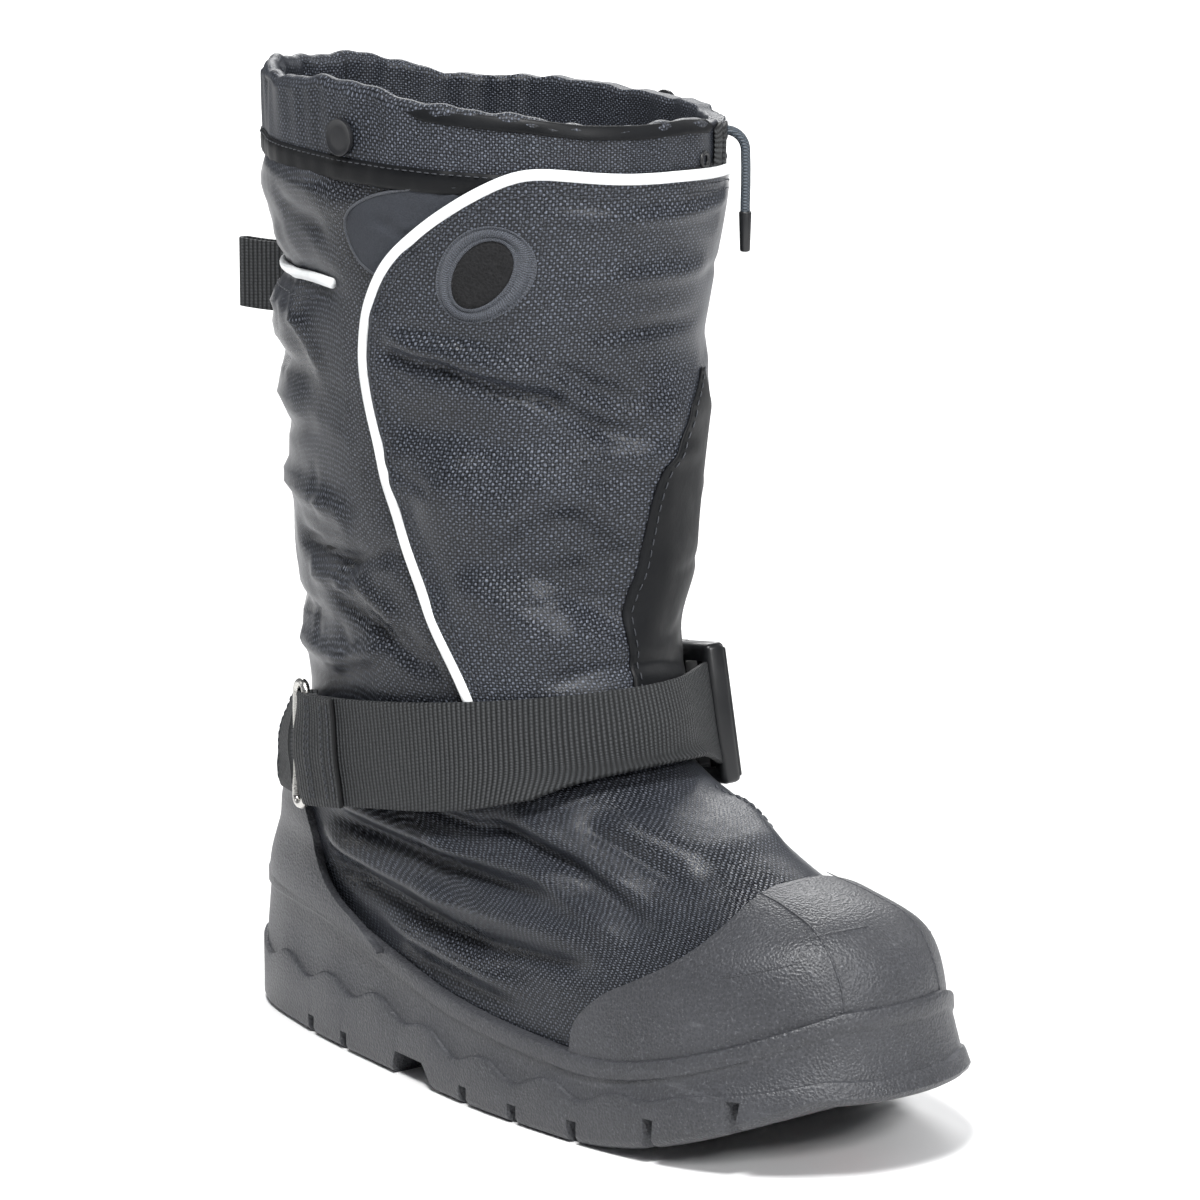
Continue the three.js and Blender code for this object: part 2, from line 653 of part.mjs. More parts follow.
function snowCollar() {
  const near = GAP;
  const far = GAP + CUFF_SKIN;
  const middle = (CUFF_BOTTOM + COLLAR) / 2;
  const stops = [
    { place: CUFF_BOTTOM, lift: far, over: 0 },
    { place: middle, lift: far, over: 0 },
    { place: COLLAR, lift: far, over: 0 },
    { place: COLLAR, lift: far - RIM_ROUND, over: RIM_FOLD },
    { place: COLLAR, lift: -UPPER_WALL - far + RIM_ROUND, over: RIM_FOLD },
    { place: COLLAR, lift: -UPPER_WALL - far, over: 0 },
    { place: middle, lift: -UPPER_WALL - far, over: 0 },
    { place: CUFF_INNER_BOTTOM, lift: -UPPER_WALL - far, over: 0 },
    { place: CUFF_INNER_BOTTOM, lift: -UPPER_WALL - near, over: 0 },
    { place: middle, lift: -UPPER_WALL - near, over: 0 },
    { place: COLLAR, lift: -UPPER_WALL - near, over: GAP },
    { place: COLLAR, lift: near, over: GAP },
    { place: middle, lift: near, over: 0 },
    { place: CUFF_BOTTOM, lift: near, over: 0 },
  ];
  const loops = stops.map(({ place, lift, over }) =>
    turns(AROUND).map((turn) => {
      const p = lifted(turn, place, lift);
      p.z += over === RIM_FOLD ? over + ripple(turn) : over;
      return p;
    }),
  );
  return meshOf("snow_collar", geometryOf(loft(loops, true)), SHAFT_CLOTH);
}

// The line along the middle of the instep strap.
function strapHeight(x) {
  return STRAP_HEEL_HEIGHT + STRAP_SLOPE * x;
}

// Free edges of the flap on each side of the shaft, from the top front round the back and down.
const OUTER_FLAP_EDGE = [
  onShaft(1.108, 0.910),
  onShaft(0.994, 0.918),
  onShaft(0.909, 0.927),
  onShaft(0.858, 0.910),
  onShaft(0.795, 0.880),
  onShaft(0.716, 0.837),
  onShaft(0.648, 0.794),
  onShaft(0.597, 0.738),
  onShaft(0.562, 0.661),
  onShaft(0.560, 0.601),
  onShaft(0.574, 0.532),
  onShaft(0.602, 0.399),
  onShaft(0.665, 0.275),
  onShaft(0.727, 0.185),
  onShaft(0.778, 0.103),
];
const INNER_FLAP_EDGE = [
  onShaft(1.108, 0.910),
  onShaft(0.994, 0.910),
  onShaft(0.903, 0.906),
  onShaft(0.812, 0.888),
  onShaft(0.710, 0.854),
  onShaft(0.631, 0.803),
  onShaft(0.580, 0.738),
  onShaft(0.545, 0.661),
  onShaft(0.540, 0.588),
  onShaft(0.551, 0.519),
  onShaft(0.580, 0.399),
  onShaft(0.631, 0.275),
  onShaft(0.688, 0.185),
  onShaft(0.733, 0.103),
];
const FLAP_LIFT = GAP + CUFF_SKIN + GAP;

// The side-view area in front of a flap edge, down to the strap's lower part.
function flapArea(edge, inset) {
  const line = besides(curveThrough(edge, 17), inset);
  const front = COLLAR_LENGTH;
  const below = (x) => strapHeight(x) - 0.3 * WEBBING_WIDTH;
  const kept = line.filter(([x, z]) => z > below(x));
  const [endX] = kept[kept.length - 1];
  return [...kept, [endX, below(endX)], [front, below(front)], [front, line[0][1]]];
}

function ovalOutline(growth) {
  const [x, z] = onShaft(0.824, 0.785);
  const count = 16;
  const cos = Math.cos(OVAL_TILT);
  const sin = Math.sin(OVAL_TILT);
  return Array.from({ length: count }, (_, i) => {
    const angle = (i * 2 * Math.PI) / count;
    const a = (OVAL_WIDTH / 2 + growth) * Math.cos(angle);
    const b = (OVAL_HEIGHT / 2 + growth) * Math.sin(angle);
    return [x + a * cos + b * sin, z - a * sin + b * cos];
  });
}

function frontFlap() {
  const shell = sleeve(SHAFT_ROW, COLLAR, FLAP_LIFT, FLAP_LIFT + FLAP_SKIN);
  const inset = PIPING_WIDTH + GAP;
  const outer = sideBlock(flapArea(OUTER_FLAP_EDGE, inset), -FAR, 0);
  const inner = sideBlock(flapArea(INNER_FLAP_EDGE, inset), 0, FAR);
  const window = sideBlock(ovalOutline(0), -FAR, 0);
  const flap = shell.intersect(outer.add(inner)).subtract(window);
  return meshOf("front_flap", geometryOf(flap), FLAP_CLOTH);
}

function flapPiping(name, edge, fromY, toY, strapEdge) {
  const line = curveThrough(edge, 17);
  const band = [...line, ...besides(line, PIPING_WIDTH).reverse()];
  const top = (x) => strapHeight(x) + strapEdge + GAP;
  const strapZone = sideBlock([[-FAR, 0], [FAR, 0], [FAR, top(FAR)], [-FAR, top(-FAR)]], -FAR, FAR);
  const shell = sleeve(SHAFT_ROW, COLLAR, FLAP_LIFT, FLAP_LIFT + PIPING_SKIN);
  const piping = shell.intersect(sideBlock(band, fromY, toY)).subtract(strapZone);
  return meshOf(name, geometryOf(piping), REFLECTIVE);
}

// What is sewn flat on the shaft within a side-view outline.
function sewnOn(name, outline, fromY, toY, from, to, finish) {
  const shell = sleeve(SHAFT_ROW, COLLAR, from, to);
  return meshOf(name, geometryOf(shell.intersect(sideBlock(outline, fromY, toY))), finish);
}

const HOOK_EDGE = [
  onShaft(0.722, 0.884),
  onShaft(0.608, 0.871),
  onShaft(0.534, 0.833),
  onShaft(0.562, 0.790),
  onShaft(0.631, 0.768),
];

function trimMeshes() {
  const [endX, middleZ] = onShaft(0.57, BACK_PIPING_SHARE);
  const low = middleZ - PIPING_WIDTH / 2;
  const high = middleZ + PIPING_WIDTH / 2;
  const backBand = [[-FAR, low], [endX, low], [endX, high], [-FAR, high]];
  const hook = [...curveThrough(HOOK_EDGE, 14), onShaft(0.722, 0.768)];
  return [
    sewnOn("back_piping", backBand, -FAR, FAR, GAP, PIPING_SKIN, REFLECTIVE),
    sewnOn("hook_patch", hook, -FAR, 0, GAP, GAP + PATCH_SKIN, HOOK_TAPE),
    sewnOn("oval_window", ovalOutline(-GAP), -FAR, 0, GAP, FLAP_LIFT + WINDOW_PROUD, FLEECE),
  ];
}

function ovalRing() {
  const outside = sideBlock(ovalOutline(OVAL_BORDER), -FAR, 0);
  const inside = sideBlock(ovalOutline(0), -FAR, 0);
  const from = FLAP_LIFT + FLAP_SKIN + GAP;
  const ring = sleeve(SHAFT_ROW, COLLAR, from, from + OVAL_SKIN).intersect(outside.subtract(inside));
  return meshOf("oval_ring", geometryOf(ring), FLAP_CLOTH);
}

const STRAP_LIFT = FLAP_LIFT + FLAP_SKIN + STRAP_CLEARANCE;

function strapPoint(turn, lift) {
  return lifted(turn, placeAt(turn, strapHeight), lift);
}

// The turn and row number of the surface point nearest to a target, from a first guess.
function nearest(target, firstTurn, firstPlace) {
  let turn = firstTurn;
  let place = firstPlace;
  for (let i = 0; i < 8; i++) {
    const round = skinPoint(turn + 0.01, place).sub(skinPoint(turn - 0.01, place)).divideScalar(0.02);
    const rise = skinPoint(turn, place + 0.02).sub(skinPoint(turn, place - 0.02)).divideScalar(0.04);
    const off = target.clone().sub(skinPoint(turn, place));
    const cross = round.dot(rise);
    const scale = round.lengthSq() * rise.lengthSq() - cross * cross;
    turn += (rise.lengthSq() * round.dot(off) - cross * rise.dot(off)) / scale;
    place += (round.lengthSq() * rise.dot(off) - cross * round.dot(off)) / scale;
  }
  return { turn, place };
}

// A section of the strap at a turn, with its width laid off square to the strap line.
function strapLoop(turn, lift, halfWidth) {
  const across = 4;
  const place = placeAt(turn, strapHeight);
  const middle = skinPoint(turn, place);
  const run = strapPoint(turn + 0.01, 0).sub(strapPoint(turn - 0.01, 0));
  const up = run.cross(skinNormal(turn, place)).normalize();
  if (up.z < 0) up.negate();
  const spots = Array.from({ length: across }, (_, j) => {
    const edge = halfWidth * ((2 * j) / (across - 1) - 1);
    return nearest(middle.clone().addScaledVector(up, edge), turn, place);
  });
  const inside = spots.map((spot) => lifted(spot.turn, spot.place, lift));
  const outside = spots.map((spot) => lifted(spot.turn, spot.place, lift + WEBBING_SKIN));
  return [...inside, ...outside.reverse()];
}

// The same section, flat across the end of the buckle.
function flatLoop(centre, up, outward, halfWidth) {
  const across = 4;
  const spots = Array.from({ length: across }, (_, j) =>
    centre.clone().addScaledVector(up, halfWidth * ((2 * j) / (across - 1) - 1)),
  );
  const inside = spots.map((p) => p.clone().addScaledVector(outward, -WEBBING_SKIN / 2));
  const outside = spots.map((p) => p.clone().addScaledVector(outward, WEBBING_SKIN / 2));
  return [...inside, ...outside.reverse()];
}

// The turn where the strap line, at a lift, lies a distance beyond another turn, away from the front.
function turnBeyond(turn, distance, lift) {
  const side = Math.sign(turn);
  const start = strapPoint(turn, lift);
  let near = Math.abs(turn);
  let far = distance > 0 ? Math.PI : 0;
  for (let i = 0; i < 40; i++) {
    const middle = (near + far) / 2;
    if (strapPoint(side * middle, lift).distanceTo(start) < Math.abs(distance)) near = middle;
    else far = middle;
  }
  return (side * (near + far)) / 2;
}

// Where the buckle lies at a lift: its middle, its directions back along the strap, up and outward, and
// the turn of its rear end.
function buckleSeat(lift) {
  const rearTurn = turnBeyond(BUCKLE_FRONT_TURN, BUCKLE_LENGTH, lift);
  const front = strapPoint(BUCKLE_FRONT_TURN, lift);
  const rear = strapPoint(rearTurn, lift);
  const back = rear.clone().sub(front).normalize();
  const turn = (BUCKLE_FRONT_TURN + rearTurn) / 2;
  const away = skinNormal(turn, placeAt(turn, strapHeight));
  const up = away.cross(back).normalize();
  return { middle: front.add(rear).multiplyScalar(0.5), back, up, outward: back.clone().cross(up), rearTurn };
}

// How far the buckle's back lies off the upper at the nearest spot.
function buckleClearance(seat) {
  const highest = spread(BUCKLE_FRONT_TURN, seat.rearTurn, 12).flatMap((turn) => {
    const place = placeAt(turn, strapHeight);
    const middle = skinPoint(turn, place);
    return [-0.5, -0.25, 0, 0.25, 0.5].map((share) => {
      const spot = nearest(middle.clone().addScaledVector(seat.up, share * BUCKLE_WIDTH), turn, place);
      return skinPoint(spot.turn, spot.place).sub(seat.middle).dot(seat.outward);
    });
  });
  return -Math.max(...highest) - BUCKLE_THICKNESS / 2;
}

// The straight buckle bridges the curved upper, so its lift follows from the clearance behind it.
function clearSeat() {
  let lift = BUCKLE_THICKNESS / 2 + BUCKLE_CLEARANCE;
  for (let i = 0; i < 8; i++) lift += BUCKLE_CLEARANCE - buckleClearance(buckleSeat(lift));
  return buckleSeat(lift);
}

const SEAT = clearSeat();

// The strap's section at an end of the buckle. end is -1 in front and 1 behind.
function buckleLoop(end) {
  const centre = SEAT.middle.clone().addScaledVector(SEAT.back, end * (BUCKLE_LENGTH / 2 + 2 * GAP));
  return flatLoop(centre, SEAT.up, SEAT.outward, WEBBING_WIDTH / 2);
}

function frontStrap() {
  const from = turnBeyond(OUTER_RING_TURN, -RING_LENGTH / 2 - 4 * GAP, RING_LIFT);
  const lying = spread(from, BUCKLE_FRONT_TURN - FREE_TURN, 18).map((turn) =>
    strapLoop(turn, STRAP_LIFT, WEBBING_WIDTH / 2),
  );
  return meshOf("front_strap", geometryOf(loft([...lying, buckleLoop(-1)])), WEBBING);
}

function rearStrap() {
  const to = turnBeyond(INNER_RING_TURN, -RING_LENGTH / 2 - 4 * GAP, RING_LIFT);
  const lying = spread((SEAT.rearTurn + to) / 2, to, 4).map((turn) =>
    strapLoop(turn, RING_LIFT - WEBBING_SKIN / 2, WEBBING_WIDTH / 2),
  );
  return meshOf("rear_strap", geometryOf(loft([buckleLoop(1), ...lying])), WEBBING);
}

// A group whose x runs from one point to another and whose z leans to an outward direction.
function frameAt(middle, along, outward) {
  const x = along.clone().normalize();
  const y = outward.clone().cross(x).normalize();
  const z = x.clone().cross(y);
  const group = new THREE.Group();
  group.position.copy(middle);
  group.quaternion.setFromRotationMatrix(new THREE.Matrix4().makeBasis(x, y, z));
  return group;
}

function roundedOutline(length, width, radius) {
  const shape = new THREE.Shape();
  const a = length / 2;
  const b = width / 2;
  shape.moveTo(-a + radius, -b);
  shape.lineTo(a - radius, -b);
  shape.absarc(a - radius, -b + radius, radius, -Math.PI / 2, 0, false);
  shape.absarc(a - radius, b - radius, radius, 0, Math.PI / 2, false);
  shape.absarc(-a + radius, b - radius, radius, Math.PI / 2, Math.PI, false);
  shape.absarc(-a + radius, -b + radius, radius, Math.PI, 1.5 * Math.PI, false);
  return shape;
}

function plate(shape, thickness) {
  const geometry = new THREE.ExtrudeGeometry(shape, {
    depth: thickness - 2 * BUCKLE_BEVEL,
    bevelThickness: BUCKLE_BEVEL,
    bevelSize: BUCKLE_BEVEL,
    bevelOffset: -BUCKLE_BEVEL,
    bevelSegments: 1,
    curveSegments: 3,
  });
  return geometry.translate(0, 0, -thickness / 2 + BUCKLE_BEVEL);
}

// What is cut from a buckle half for the webbing, at an x.
function hole(length, x) {
  const cut = new THREE.ExtrudeGeometry(roundedOutline(length, WEBBING_WIDTH + 1, BUCKLE_BEVEL), {
    depth: 2 * BUCKLE_THICKNESS,
    bevelEnabled: false,
    curveSegments: 2,
  });
  return solidOf(cut.translate(x, 0, -BUCKLE_THICKNESS));
}

// The front half of the buckle: a frame with a slot that the webbing is threaded through.
function buckleProngHalf() {
  const outline = roundedOutline(PRONG_HALF_LENGTH, BUCKLE_WIDTH, BUCKLE_CORNER);
  const body = plate(outline, 0.72 * BUCKLE_THICKNESS);
  const slotX = -PRONG_HALF_LENGTH / 2 + SLOT_BAR + SLOT_LENGTH / 2;
  const half = solidOf(body).subtract(hole(SLOT_LENGTH, slotX));
  const mesh = meshOf("buckle_prong_half", geometryOf(half), PLASTIC);
  mesh.position.x = -(BUCKLE_LENGTH - PRONG_HALF_LENGTH) / 2;
  return mesh;
}

// The rear half: a hollow body scooped at both sides, where the prongs are pressed.
function buckleSocketHalf() {
  const outline = roundedOutline(SOCKET_LENGTH, BUCKLE_WIDTH, BUCKLE_CORNER);
  const body = plate(outline, BUCKLE_THICKNESS);
  const slotX = SOCKET_LENGTH / 2 - SLOT_BAR - SLOT_LENGTH / 4;
  let half = solidOf(body).subtract(hole(SLOT_LENGTH / 2, slotX));
  for (const side of [-1, 1]) {
    const scoop = new THREE.CylinderGeometry(SCOOP_RADIUS, SCOOP_RADIUS, 2 * BUCKLE_THICKNESS, 16);
    scoop.rotateX(Math.PI / 2).translate(0, side * (BUCKLE_WIDTH / 2 + SCOOP_RADIUS - SCOOP_DEPTH), 0);
    half = half.subtract(solidOf(scoop));
  }
  const mesh = meshOf("buckle_socket_half", geometryOf(half), PLASTIC);
  mesh.position.x = (BUCKLE_LENGTH - SOCKET_LENGTH) / 2;
  return mesh;
}

function buckle() {
  const group = frameAt(SEAT.middle, SEAT.back, SEAT.outward);
  group.add(buckleProngHalf(), buckleSocketHalf());
  return group;
}

// A wire ring that joins the strap to the heel, with the short tab that holds it.
function heelRing(name, turn) {
  const outer = roundedOutline(RING_LENGTH, WEBBING_WIDTH + 2 * RING_WIRE + RING_PLAY, RING_CORNER);
  outer.holes.push(roundedOutline(RING_LENGTH - 2 * RING_WIRE, WEBBING_WIDTH + RING_PLAY, RING_CORNER / 2));
  const wire = { depth: RING_WIRE, bevelEnabled: false, curveSegments: 2 };
  const geometry = new THREE.ExtrudeGeometry(outer, wire);
  geometry.translate(0, 0, -RING_WIRE / 2);
  const side = Math.sign(turn);
  const ahead = strapPoint(turn - side * 0.05, RING_LIFT).sub(strapPoint(turn + side * 0.05, RING_LIFT));
  const group = frameAt(strapPoint(turn, RING_LIFT), ahead, skinNormal(turn, placeAt(turn, strapHeight)));
  group.add(meshOf(name, geometry, STEEL));
  return group;
}

function ringTab(name, ringTurn) {
  const from = turnBeyond(ringTurn, RING_LENGTH / 2 + 6 * GAP, RING_LIFT);
  const to = turnBeyond(ringTurn, RING_LENGTH / 2 + TAB_LENGTH, RING_LIFT);
  const lift = RUBBER_SKIN + 6 * GAP;
  const strap = loft(spread(from, to, 6).map((turn) => strapLoop(turn, lift, TAB_WIDTH / 2)));
  return meshOf(name, geometryOf(strap), WEBBING);
}

function snapCap(name, side) {
  const [x, z] = onShaft(0.54, 0.962);
  const { turn, place } = find(side, x, z);
  const dome = new THREE.LatheGeometry(
    [
      new THREE.Vector2(0, 0),
      new THREE.Vector2(SNAP_RADIUS, 0),
      new THREE.Vector2(SNAP_RADIUS, 0.5 * SNAP_HEIGHT),
      new THREE.Vector2(0.8 * SNAP_RADIUS, SNAP_HEIGHT),
      new THREE.Vector2(0, SNAP_HEIGHT),
    ],
    14,
  ).rotateX(Math.PI / 2);
  const seat = lifted(turn, place, 2 * GAP + CUFF_SKIN);
  const group = frameAt(seat, new THREE.Vector3(0, 0, 1), skinNormal(turn, place));
  group.add(meshOf(name, dome, PLASTIC));
  return group;
}

// The webbing loop at the back seam, for pulling the boot on.
function pullLoop() {
  const height = INSTEP_HEIGHT + (BACK_PIPING_SHARE - 0.05) * (BOOT_HEIGHT - INSTEP_HEIGHT);
  const seat = lifted(Math.PI, placeAt(Math.PI, () => height), PIPING_SKIN + 3 * GAP);
  const outline = new THREE.Shape();
  const r = LOOP_END_RADIUS;
  const inner = r - LOOP_SKIN;
  outline.moveTo(0, -LOOP_SKIN - GAP);
  outline.lineTo(0, LOOP_SKIN + GAP);
  outline.lineTo(-LOOP_LENGTH + r, r);
  outline.absarc(-LOOP_LENGTH + r, 0, r, Math.PI / 2, 1.5 * Math.PI, false);
  const inside = new THREE.Path();
  inside.moveTo(-LOOP_SEWN, 0);
  inside.lineTo(-LOOP_LENGTH + r, -inner);
  inside.absarc(-LOOP_LENGTH + r, 0, inner, 1.5 * Math.PI, Math.PI / 2, true);
  outline.holes.push(inside);
  const webbing = { depth: LOOP_WIDTH, bevelEnabled: false, curveSegments: 5 };
  const geometry = new THREE.ExtrudeGeometry(outline, webbing);
  const mesh = meshOf("pull_loop", geometry.translate(0, 0, -LOOP_WIDTH / 2), WEBBING);
  mesh.rotation.z = LOOP_DROOP;
  mesh.position.copy(seat);
  return mesh;
}

// The drawcord comes out of the cuff near the collar's fold and hangs down in front of the flap.
const CORD_ROUTE = [
  [142.41, 47.33, 329.25],
  [143.52, 48.44, 329.07],
  [144.57, 49.49, 328.55],
  [145.51, 50.43, 327.70],
  [146.29, 51.21, 326.58],
  [146.87, 51.79, 325.24],
  [147.22, 52.14, 323.74],
  [147.33, 52.25, 322.30],
  [147.38, 52.30, 319.50],
  [147.43, 52.35, 316.50],
  [147.43, 52.35, 313.50],
  [147.43, 52.35, 310.50],
  [147.38, 52.30, 307.50],
  [147.33, 52.25, 304.50],
  [147.33, 52.25, 301.50],
];

function cordAlong(points, diameter, steps) {
  const radius = diameter / 2;
  const section = new THREE.Shape(
    Array.from({ length: 8 }, (_, i) => {
      const angle = (i * Math.PI) / 4;
      return new THREE.Vector2(radius * Math.cos(angle), radius * Math.sin(angle));
    }),
  );
  const path = new THREE.CatmullRomCurve3(points);
  return new THREE.ExtrudeGeometry(section, { extrudePath: path, steps, bevelEnabled: false });
}

function drawcord() {
  const route = CORD_ROUTE.map((p) => new THREE.Vector3(...p));
  const end = route[route.length - 1];
  const radius = TIP_DIAMETER / 2;
  const tip = new THREE.CylinderGeometry(radius, 0.8 * radius, TIP_LENGTH, 12).rotateX(Math.PI / 2);
  const tipMesh = meshOf("cord_tip", tip, PLASTIC);
  tipMesh.position.set(end.x, end.y, end.z - TIP_LENGTH / 2);
  return [meshOf("drawcord", cordAlong(route, CORD_DIAMETER, 11), CORD), tipMesh];
}

const overshoe = new THREE.Group();
overshoe.add(outsole(), ...gripPlugs(), toeCap(), heelCounter(), upper(), insole());
overshoe.add(snowCollar(), frontFlap(), ovalRing(), ...trimMeshes());
overshoe.add(flapPiping("flap_piping", OUTER_FLAP_EDGE, -FAR, 0, WEBBING_WIDTH / 2));
overshoe.add(flapPiping("inner_piping", INNER_FLAP_EDGE, 0, FAR, BUCKLE_WIDTH / 2 + PIPING_WIDTH));
overshoe.add(frontStrap(), rearStrap(), buckle());
overshoe.add(heelRing("ring_outer", OUTER_RING_TURN), heelRing("ring_inner", INNER_RING_TURN));
overshoe.add(ringTab("ring_tab_outer", OUTER_RING_TURN), ringTab("ring_tab_inner", INNER_RING_TURN));
overshoe.add(snapCap("snap_cap_outer", -1), snapCap("snap_cap_inner", 1));
overshoe.add(pullLoop(), ...drawcord());

export default overshoe;
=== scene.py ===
"""Dresses a right winter overshoe: rubber bottom, hollow cloth shaft, wrapped flap and buckled strap.

Units are metres. +X points to the toe, -Y to the outer side of the foot and +Z up.
"""

import math

import bpy
import numpy as np
from mathutils import Matrix, Vector


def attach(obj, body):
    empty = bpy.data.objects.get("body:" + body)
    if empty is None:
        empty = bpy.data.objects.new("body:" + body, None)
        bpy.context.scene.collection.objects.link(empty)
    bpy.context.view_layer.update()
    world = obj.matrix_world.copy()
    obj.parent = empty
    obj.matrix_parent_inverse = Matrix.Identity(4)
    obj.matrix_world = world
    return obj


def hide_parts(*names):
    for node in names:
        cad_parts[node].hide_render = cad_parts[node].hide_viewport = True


bl_info = {
    "name": "Winter Overshoe",
    "version": (1, 0, 0),
    "blender": (4, 5, 0),
    "location": "View3D > Sidebar > Overshoe",
    "description": "Builds the cloth, rubber and hardware of a winter overshoe",
    "category": "Add Mesh",
}

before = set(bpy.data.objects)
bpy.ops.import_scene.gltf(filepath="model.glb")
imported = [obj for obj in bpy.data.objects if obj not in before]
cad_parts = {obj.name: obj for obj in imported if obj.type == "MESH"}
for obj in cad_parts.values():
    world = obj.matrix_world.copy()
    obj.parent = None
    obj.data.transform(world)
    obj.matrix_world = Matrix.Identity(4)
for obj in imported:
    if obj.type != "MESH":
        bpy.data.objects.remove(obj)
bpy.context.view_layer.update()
MM = 0.001

# Sections of the foot, from the feather edge to the instep, and of the shaft above it. Lengths are shares
# of the foot's or collar's length, rises of the height from footbed to instep or from instep to collar, and
# half widths of the ball's or collar's half width.
FOOT = {
    "front": (0.994, 1.0, 0.99, 0.961, 0.906, 0.842, 0.786, 0.722, 0.668, 0.618),
    "front_rise": (0, 0.19, 0.37, 0.55, 0.697, 0.8, 0.9, 1.0, 1.07, 1.17),
    "back": (0.01, 0, 0, 0.004, 0.01, 0.017, 0.025, 0.032, 0.048, 0.062),
    "back_rise": (0, 0.18, 0.345, 0.494, 0.62, 0.724, 0.816, 0.897, 0.977, 1.07),
    "out": (1.0, 1.02, 1.0, 0.97, 0.935, 0.91, 0.9, 0.9, 0.9, 0.905),
    "in": (0.96, 0.98, 0.96, 0.93, 0.9, 0.875, 0.87, 0.87, 0.87, 0.88),
    "widest": (0.68, 0.66, 0.64, 0.6, 0.56, 0.53, 0.52, 0.51, 0.5, 0.5),
    "blunt": (2.4, 2.4, 2.3, 2.2, 2.1, 2.1, 2.1, 2.3, 2.3, 2.3),
    "waist": (0.12, 0.1, 0.08, 0.05, 0.02, 0, 0, 0, 0, 0),
    "spring": (1, 0.9, 0.75, 0.55, 0.35, 0.2, 0.1, 0, 0, 0),
    "turn_in": (1, 1, 1, 0.95, 0.9, 0.8, 0.65, 0.5, 0.3, 0.1),
}
SHAFT = {
    "front": (0.960, 0.926, 0.903, 0.915, 0.960, 0.994, 1.0),
    "front_rise": (0.129, 0.215, 0.352, 0.528, 0.734, 0.876, 0.970),
    "back": (0.040, 0.034, 0.023, 0.017, 0.011, 0, 0),
    "back_rise": (0.086, 0.172, 0.305, 0.498, 0.708, 0.897, 1.0),
    "out": (0.707, 0.721, 0.764, 0.829, 0.907, 0.950, 0.957),
    "in": (0.700, 0.721, 0.771, 0.850, 0.943, 1.0, 1.014),
}
# The sole's side wall: its top edge and the foot of its wavy step, as shares of the wall at the heel.
WALL = {
    "at": (0, 0.2, 0.29, 0.38, 0.46, 0.57, 0.71, 0.85, 0.93, 1.0),
    "rim": (0.98, 0.98, 0.91, 0.8, 0.7, 0.63, 0.58, 0.57, 0.575, 0.6),
    "wave": (0.42, 0.42, 0.43, 0.42, 0.34, 0.3, 0.32, 0.28, 0.18, 0.11),
}
GROOVES = (0.19, 0.268, 0.518, 0.603, 0.695, 0.8, 0.89)
PLUGS = (0.19, 0.518, 0.695, 0.89)
ARCH_SHARE = 0.418
ARCH_HEIGHT = 9 * MM
CHEVRON = 0.2

# Edges in side view. Those of the rubber guards are shares of the foot, the others of the shaft.
CAP_EDGE = (
    (0.693, 0.184), (0.699, 0.310), (0.731, 0.425), (0.773, 0.506), (0.809, 0.575),
    (0.838, 0.655), (0.848, 0.747), (0.841, 0.839), (0.835, 0.966), (0.835, 1.1),
)
COUNTER_EDGE = (
    (0.084, 1.126), (0.146, 0.920), (0.184, 0.747), (0.194, 0.632), (0.217, 0.540),
    (0.252, 0.471), (0.307, 0.402), (0.366, 0.299), (0.43, 0.26),
)
OUTER_FLAP_EDGE = (
    (1.108, 0.910), (0.994, 0.918), (0.909, 0.927), (0.858, 0.910), (0.795, 0.880),
    (0.716, 0.837), (0.648, 0.794), (0.597, 0.738), (0.562, 0.661), (0.560, 0.601),
    (0.574, 0.532), (0.602, 0.399), (0.665, 0.275), (0.727, 0.185), (0.778, 0.103),
)
INNER_FLAP_EDGE = (
    (1.108, 0.910), (0.994, 0.910), (0.903, 0.906), (0.812, 0.888), (0.710, 0.854),
    (0.631, 0.803), (0.580, 0.738), (0.545, 0.661), (0.556, 0.588), (0.600, 0.510),
    (0.690, 0.399), (0.765, 0.300), (0.815, 0.200), (0.835, 0.103),
)
HOOK_EDGE = (
    (0.81, 0.905), (0.722, 0.900), (0.608, 0.882), (0.545, 0.853), (0.534, 0.822), (0.565, 0.785),
    (0.631, 0.762), (0.70, 0.750),
)

